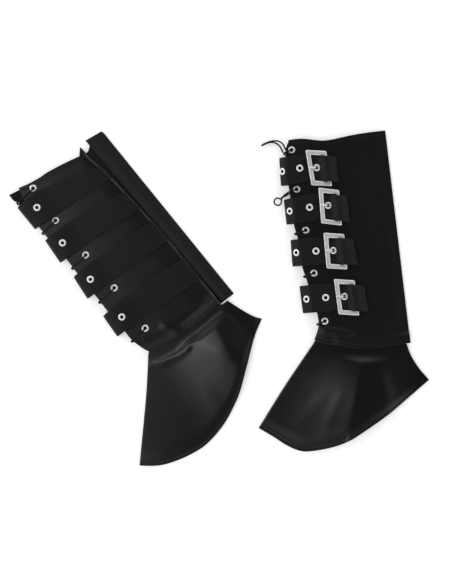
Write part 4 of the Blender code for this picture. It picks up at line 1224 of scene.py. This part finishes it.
def eyeletPiece(node, centre, axis, sunk):
    # A closed outline turned about the eyelet's axis: the flange, and the barrel sunk into the cloth
    outline = np.array(flange + [(2.80, -sunk), (2.60, -sunk - 0.05), (2.42, -sunk)])
    turns = 40
    turn = np.arange(turns) * 2 * math.pi / turns
    side = unit(np.cross(axis, [0.0, 1.0, 0.3]))
    other = np.cross(axis, side)
    points = (centre + (side * np.cos(turn)[:, None, None] + other * np.sin(turn)[:, None, None])
              * outline[None, :, :1] * mm + axis * outline[None, :, 1:] * mm)
    made = addMesh(node + "_ring", points.reshape(-1, 3), turnedFaces(turns, len(outline)), "steel")
    tapped(made, "steel", node)


def buckleDirections(buckle):
    lean, slope = math.radians(buckle["lean"]), math.radians(buckle["slope"])
    return np.array([math.sin(lean), math.cos(lean)]), np.array([-math.cos(slope), math.sin(slope)])


def buckleLevels(cover, buckle):
    # Heights of the left bar's and the heel bar's middle, and where they lie
    back = buckleDirections(buckle)[1]
    left = np.array(buckle["spot"]) + back * buckleSize["left"] / 2
    heel = np.array(buckle["spot"]) + back * (buckleSize["width"] - buckleSize["heel"] / 2)
    half = buckleSize["thick"] / 2
    high = (float(plainFace(cover, *left)) + build["rideBar"] + build["strap"] / 2 + build["gap"]
            + half + buckleSize["leftSlack"])
    low = float(plainFace(cover, *heel)) + 2 * build["gap"] + build["prong"] + half + buckleSize["heelSlack"]
    return high, low, left, heel


def roundedRing(half, low, high, radius):
    # A rounded rectangle from -half to half along its bars and from low to high across them. Each
    # corner is a quadratic bow between its sides' cut-back ends, and each side is split evenly.
    parts = 6
    corners = np.array([(-half, low), (half, low), (half, high), (-half, high)], float)
    points = []
    for before, here, after in zip(np.roll(corners, 1, axis=0), corners, np.roll(corners, -1, axis=0)):
        start = here + unit(before - here) * radius
        stop = here + unit(after - here) * radius
        t = np.linspace(0, 1, parts)[:, None]
        points.append((1 - t) ** 2 * start + 2 * t * (1 - t) * here + t * t * stop)
        following = after - unit(after - here) * radius
        t = (np.arange(1, parts) / parts)[:, None]
        points.append(stop * (1 - t) + following * t)
    return np.concatenate(points)


# Section of a frame's bar: share of the way from the outer to the inner outline, and height as a
# share of half its thickness
barSection = np.array([(0.0, -0.55), (0.0, 0.35), (0.025, 0.68), (0.09, 0.90), (0.22, 1.0), (0.5, 1.06),
                       (0.78, 1.0), (0.91, 0.90), (0.975, 0.68), (1.0, 0.35), (1.0, -0.55), (0.975, -0.8),
                       (0.9, -0.97), (0.1, -0.97), (0.025, -0.8)])


def bucklePiece(cover, number):
    # The section, domed on top, is carried round the frame, which is tilted down to its heel bar
    node = f"{cover['side']}_buckle_{number + 1}"
    buckle = cover["buckles"][number]
    up, back = buckleDirections(buckle)
    high, low, left, heel = buckleLevels(cover, buckle)
    half = buckleSize["height"] / 2
    outer = roundedRing(half, 0, buckleSize["width"], buckleSize["corner"])
    inner = roundedRing(half - buckleSize["cross"], buckleSize["left"],
                        buckleSize["width"] - buckleSize["heel"], buckleSize["corner"] / 2)
    thick = buckleSize["thick"] / 2
    share, rise = barSection[None, :, :1], barSection[None, :, 1]
    flat = outer[:, None] * (1 - share) + inner[:, None] * share
    place = np.array(buckle["spot"]) + flat[..., :1] * up + flat[..., 1:] * back
    alongBars = (place - left) @ back
    z = high + (low - high) * alongBars / np.linalg.norm(heel - left) + rise * thick
    points = toWorld(cover, withLevel(place, z))
    made = addMesh(node + "_frame", points.reshape(-1, 3), turnedFaces(*points.shape[:2]), "steel")
    tapped(made, "steel", node)


def chapePiece(cover, number):
    # A leather loop round the heel bar with a slot for the prong: its side view is carried across
    node = f"{cover['side']}_chape_{number + 1}"
    buckle = cover["buckles"][number]
    up, back = buckleDirections(buckle)
    high, low, left, heel = buckleLevels(cover, buckle)
    face = float(plainFace(cover, *heel))
    ride = build["gap"] + build["chape"] / 2
    around = buckleSize["thick"] / 2 + build["gap"] + build["chape"] / 2 + 0.22
    reach = buckleSize["heel"] / 2 + 2 * build["gap"] + build["chape"] / 2 + 0.4
    tail = 11.5
    tilt = (high - low) / np.linalg.norm(heel - left)
    middle = low - face
    view = np.array([(tail, ride), (4.4, ride), (1.2, middle - around - tilt * 2.4),
                     (1.0 - reach, middle - around + tilt * 1.4), (-reach, middle + tilt * reach - 1.0),
                     (-reach, middle + tilt * reach + 1.0), (1.0 - reach, middle + around + tilt * 2.7),
                     (2.4, middle + around), (4.8, middle + 0.4),
                     (7.6, ride + build["chape"] + build["gap"] + 0.2),
                     (tail, ride + build["chape"] + build["gap"] + 0.1)])
    run = runAlong(view)
    away, rise = read(view, run, graded(run[-1], 0.7, build["chape"] / 2) * run[-1]).T
    width = buckleSize["height"] - 2 * buckleSize["cross"] - 3.0
    across = graded(width, 1.6, build["chape"] / 2) - 0.5
    # The slot's edges fall on the nearest columns
    edge = (build["prong"] / 2 + 0.7) / width
    nearest = [np.argmin(np.abs(across - e)) for e in (-edge, edge)]
    across[nearest] = (-edge, edge)
    place = heel + back * away[:, None, None] + up * (across * width)[None, :, None]
    level = plainFace(cover, *(heel + back * away[:, None]).T)
    mix = np.clip(away / 6, 0, 1)
    z = level * mix + face * (1 - mix) + rise
    sheet = toWorld(cover, withLevel(place, np.broadcast_to(z[:, None], place.shape[:2])))
    between = (away[:-1] + away[1:]) / 2
    centre = (across[:-1] + across[1:]) / 2
    gone = (between[:, None] < 5.0) & (np.abs(centre)[None, :] < edge)
    made = clothPiece(node + "_leather", sheet, build["chape"], "strapLeather", keepOut=gone)[0]
    tapped(made, "leather", node)
    declareSheet(sheet)


def prongPiece(cover, number):
    # Hooked round the heel bar, under the strap, up through its eyelet and over the left bar
    node = f"{cover['side']}_prong_{number + 1}"
    buckle = cover["buckles"][number]
    back = buckleDirections(buckle)[1]
    high, low, _, heel = buckleLevels(cover, buckle)
    thick, prong, gap = buckleSize["thick"] / 2, build["prong"] / 2, build["gap"]
    hole = np.array(prongHole(buckle))
    face = float(plainFace(cover, *hole))
    top = high + thick
    hook = thick + gap + prong + 0.1
    wide = buckleSize["heel"] / 2 + gap + prong
    points = [(*(heel + back * a), z) for a, z in
              [(wide + 0.2, low + 1.1), (wide + 0.2, low - 1.7), (wide - 0.75, low - hook - 0.25),
               (1.6, low - hook - 0.35), (-3.2, low - hook - 0.05)]]
    under = face + build["rideBar"] - build["strap"] / 2 - gap - prong - 0.05
    points += [(*(hole + back * a), z) for a, z in
               [(3.6, under), (1.2, under + 0.35), (0.15, under + 2.4), (-0.4, under + 4.6),
                (-1.6, under + 7.2), (-3.7, top + gap + prong + 0.25)]]
    edge = float((np.array(buckle["spot"]) - hole) @ back)
    points += [(*(hole + back * (edge + 3.0)), top + gap + prong + 0.25),
               (*(hole + back * (edge - 0.4)), top + gap + prong + 0.45)]
    made = roundPiece(node + "_rod", toWorld(cover, smoothCurve(points, 5)), prong * mm, "steel")
    tapped(made, "steel", node)


# Laces

def loopPoints(loop, edge, height):
    # A turn of the lace that stands out past the edge and sinks as it comes back
    turn = np.radians(140 - 40 * np.arange(9))
    x, y = loop["centre"]
    ringPoints = [(x + loop["radius"] * math.cos(a), y + loop["radius"] * math.sin(a),
                   loop["level"] - loop["sink"] * k) for k, a in enumerate(turn)]
    out = [(edge + 2.5, height - 3.4, 10.0), (edge + 8.3, height - 6.9, 9.7)]
    home = [(edge + 12.0, height - 12.0, 5.4), (edge + 10.2, height - 8.8, 4.8),
            (edge + 5.0, height - 7.0, 3.0)]
    return out + ringPoints + home


def lacePath(cover):
    # Up out of each upper eyelet, forward over the edge, round it, back underneath and up again inside
    route = []
    lace, gap = build["lace"], build["gap"]
    for k, (front, height) in enumerate(cover["lacing"]):
        edge = frontEdge(cover, height - 3.0)
        face = float(plainFace(cover, front, height))
        inside = float(lowerZ(cover, front, height)) + build["panel"] / 2 + build["laceGap"] / 2
        lowest = lace / 2 + 0.15
        over = face + gap + lace / 2
        route += [(front, height + 9.0, inside), (front, height + 2.6, inside + 0.1),
                  (front + 0.1, height, face - 0.4), (front + 0.9, height - 0.4, face + 2.3),
                  (front + 4.4, height - 1.2, over + eyelet["rise"] + 0.2),
                  (edge - 0.8, height - 2.4, over + 0.6)]
        if cover["loop"] and cover["loop"]["row"] == k:
            route += loopPoints(cover["loop"], edge, height)
        else:
            route += [(edge + 1.7, height - 2.9, face - 0.1), (edge + 2.0, height - 3.6, lowest + 2.0)]
        route += [(edge - 0.2, height - 4.4, lowest), (front + 3.6, height - laceDrop, lowest),
                  (front + 0.3, height - laceDrop, lowest + 1.3), (front, height - 5.6, inside - 0.4),
                  (front, height - 9.0, inside)]
    return toWorld(cover, smoothCurve(route, 5))


def lacePieces(cover):
    side = cover["side"]
    made = roundPiece(side + "_lace_cord", lacePath(cover), build["lace"] / 2 * mm, "lace")
    tapped(made, "lace", side + "_lace")
    for k, (front, height) in enumerate(cover["lacing"]):
        centre = toWorld(cover, (front, height, float(plainFace(cover, front, height))))
        eyeletPiece(f"{side}_lacing_eyelet_{k + 1}", centre, np.array([0.0, 0.0, 1.0]), build["panel"] - 0.3)


def freeEndPieces():
    # The left lace's two ends lie out past the first strap, one on the other
    for node, route in freeEnds.items():
        path = toWorld(covers["left"], smoothCurve(route, 6))
        made = roundPiece(node + "_cord", path, build["lace"] / 2 * mm, "lace")
        tapped(made, "lace", node)


freeEndPieces()
print("free ends are in place")
for cover in covers.values():
    for which in ("lower", "upper"):
        shaftPiece(cover, which)
    footPiece(cover)
    closurePiece(cover)
    if not cover["buckled"]:
        bindingPiece(cover)
    for number in range(len(cover["straps"])):
        strapPiece(cover, number)
    for number in range(len(cover["buckles"])):
        bucklePiece(cover, number)
        chapePiece(cover, number)
        prongPiece(cover, number)
    lacePieces(cover)
    tapped(threadPiece(cover["side"] + "_stitches", sewing[cover["side"]]), "leather")
    print(cover["side"], "cover is made")
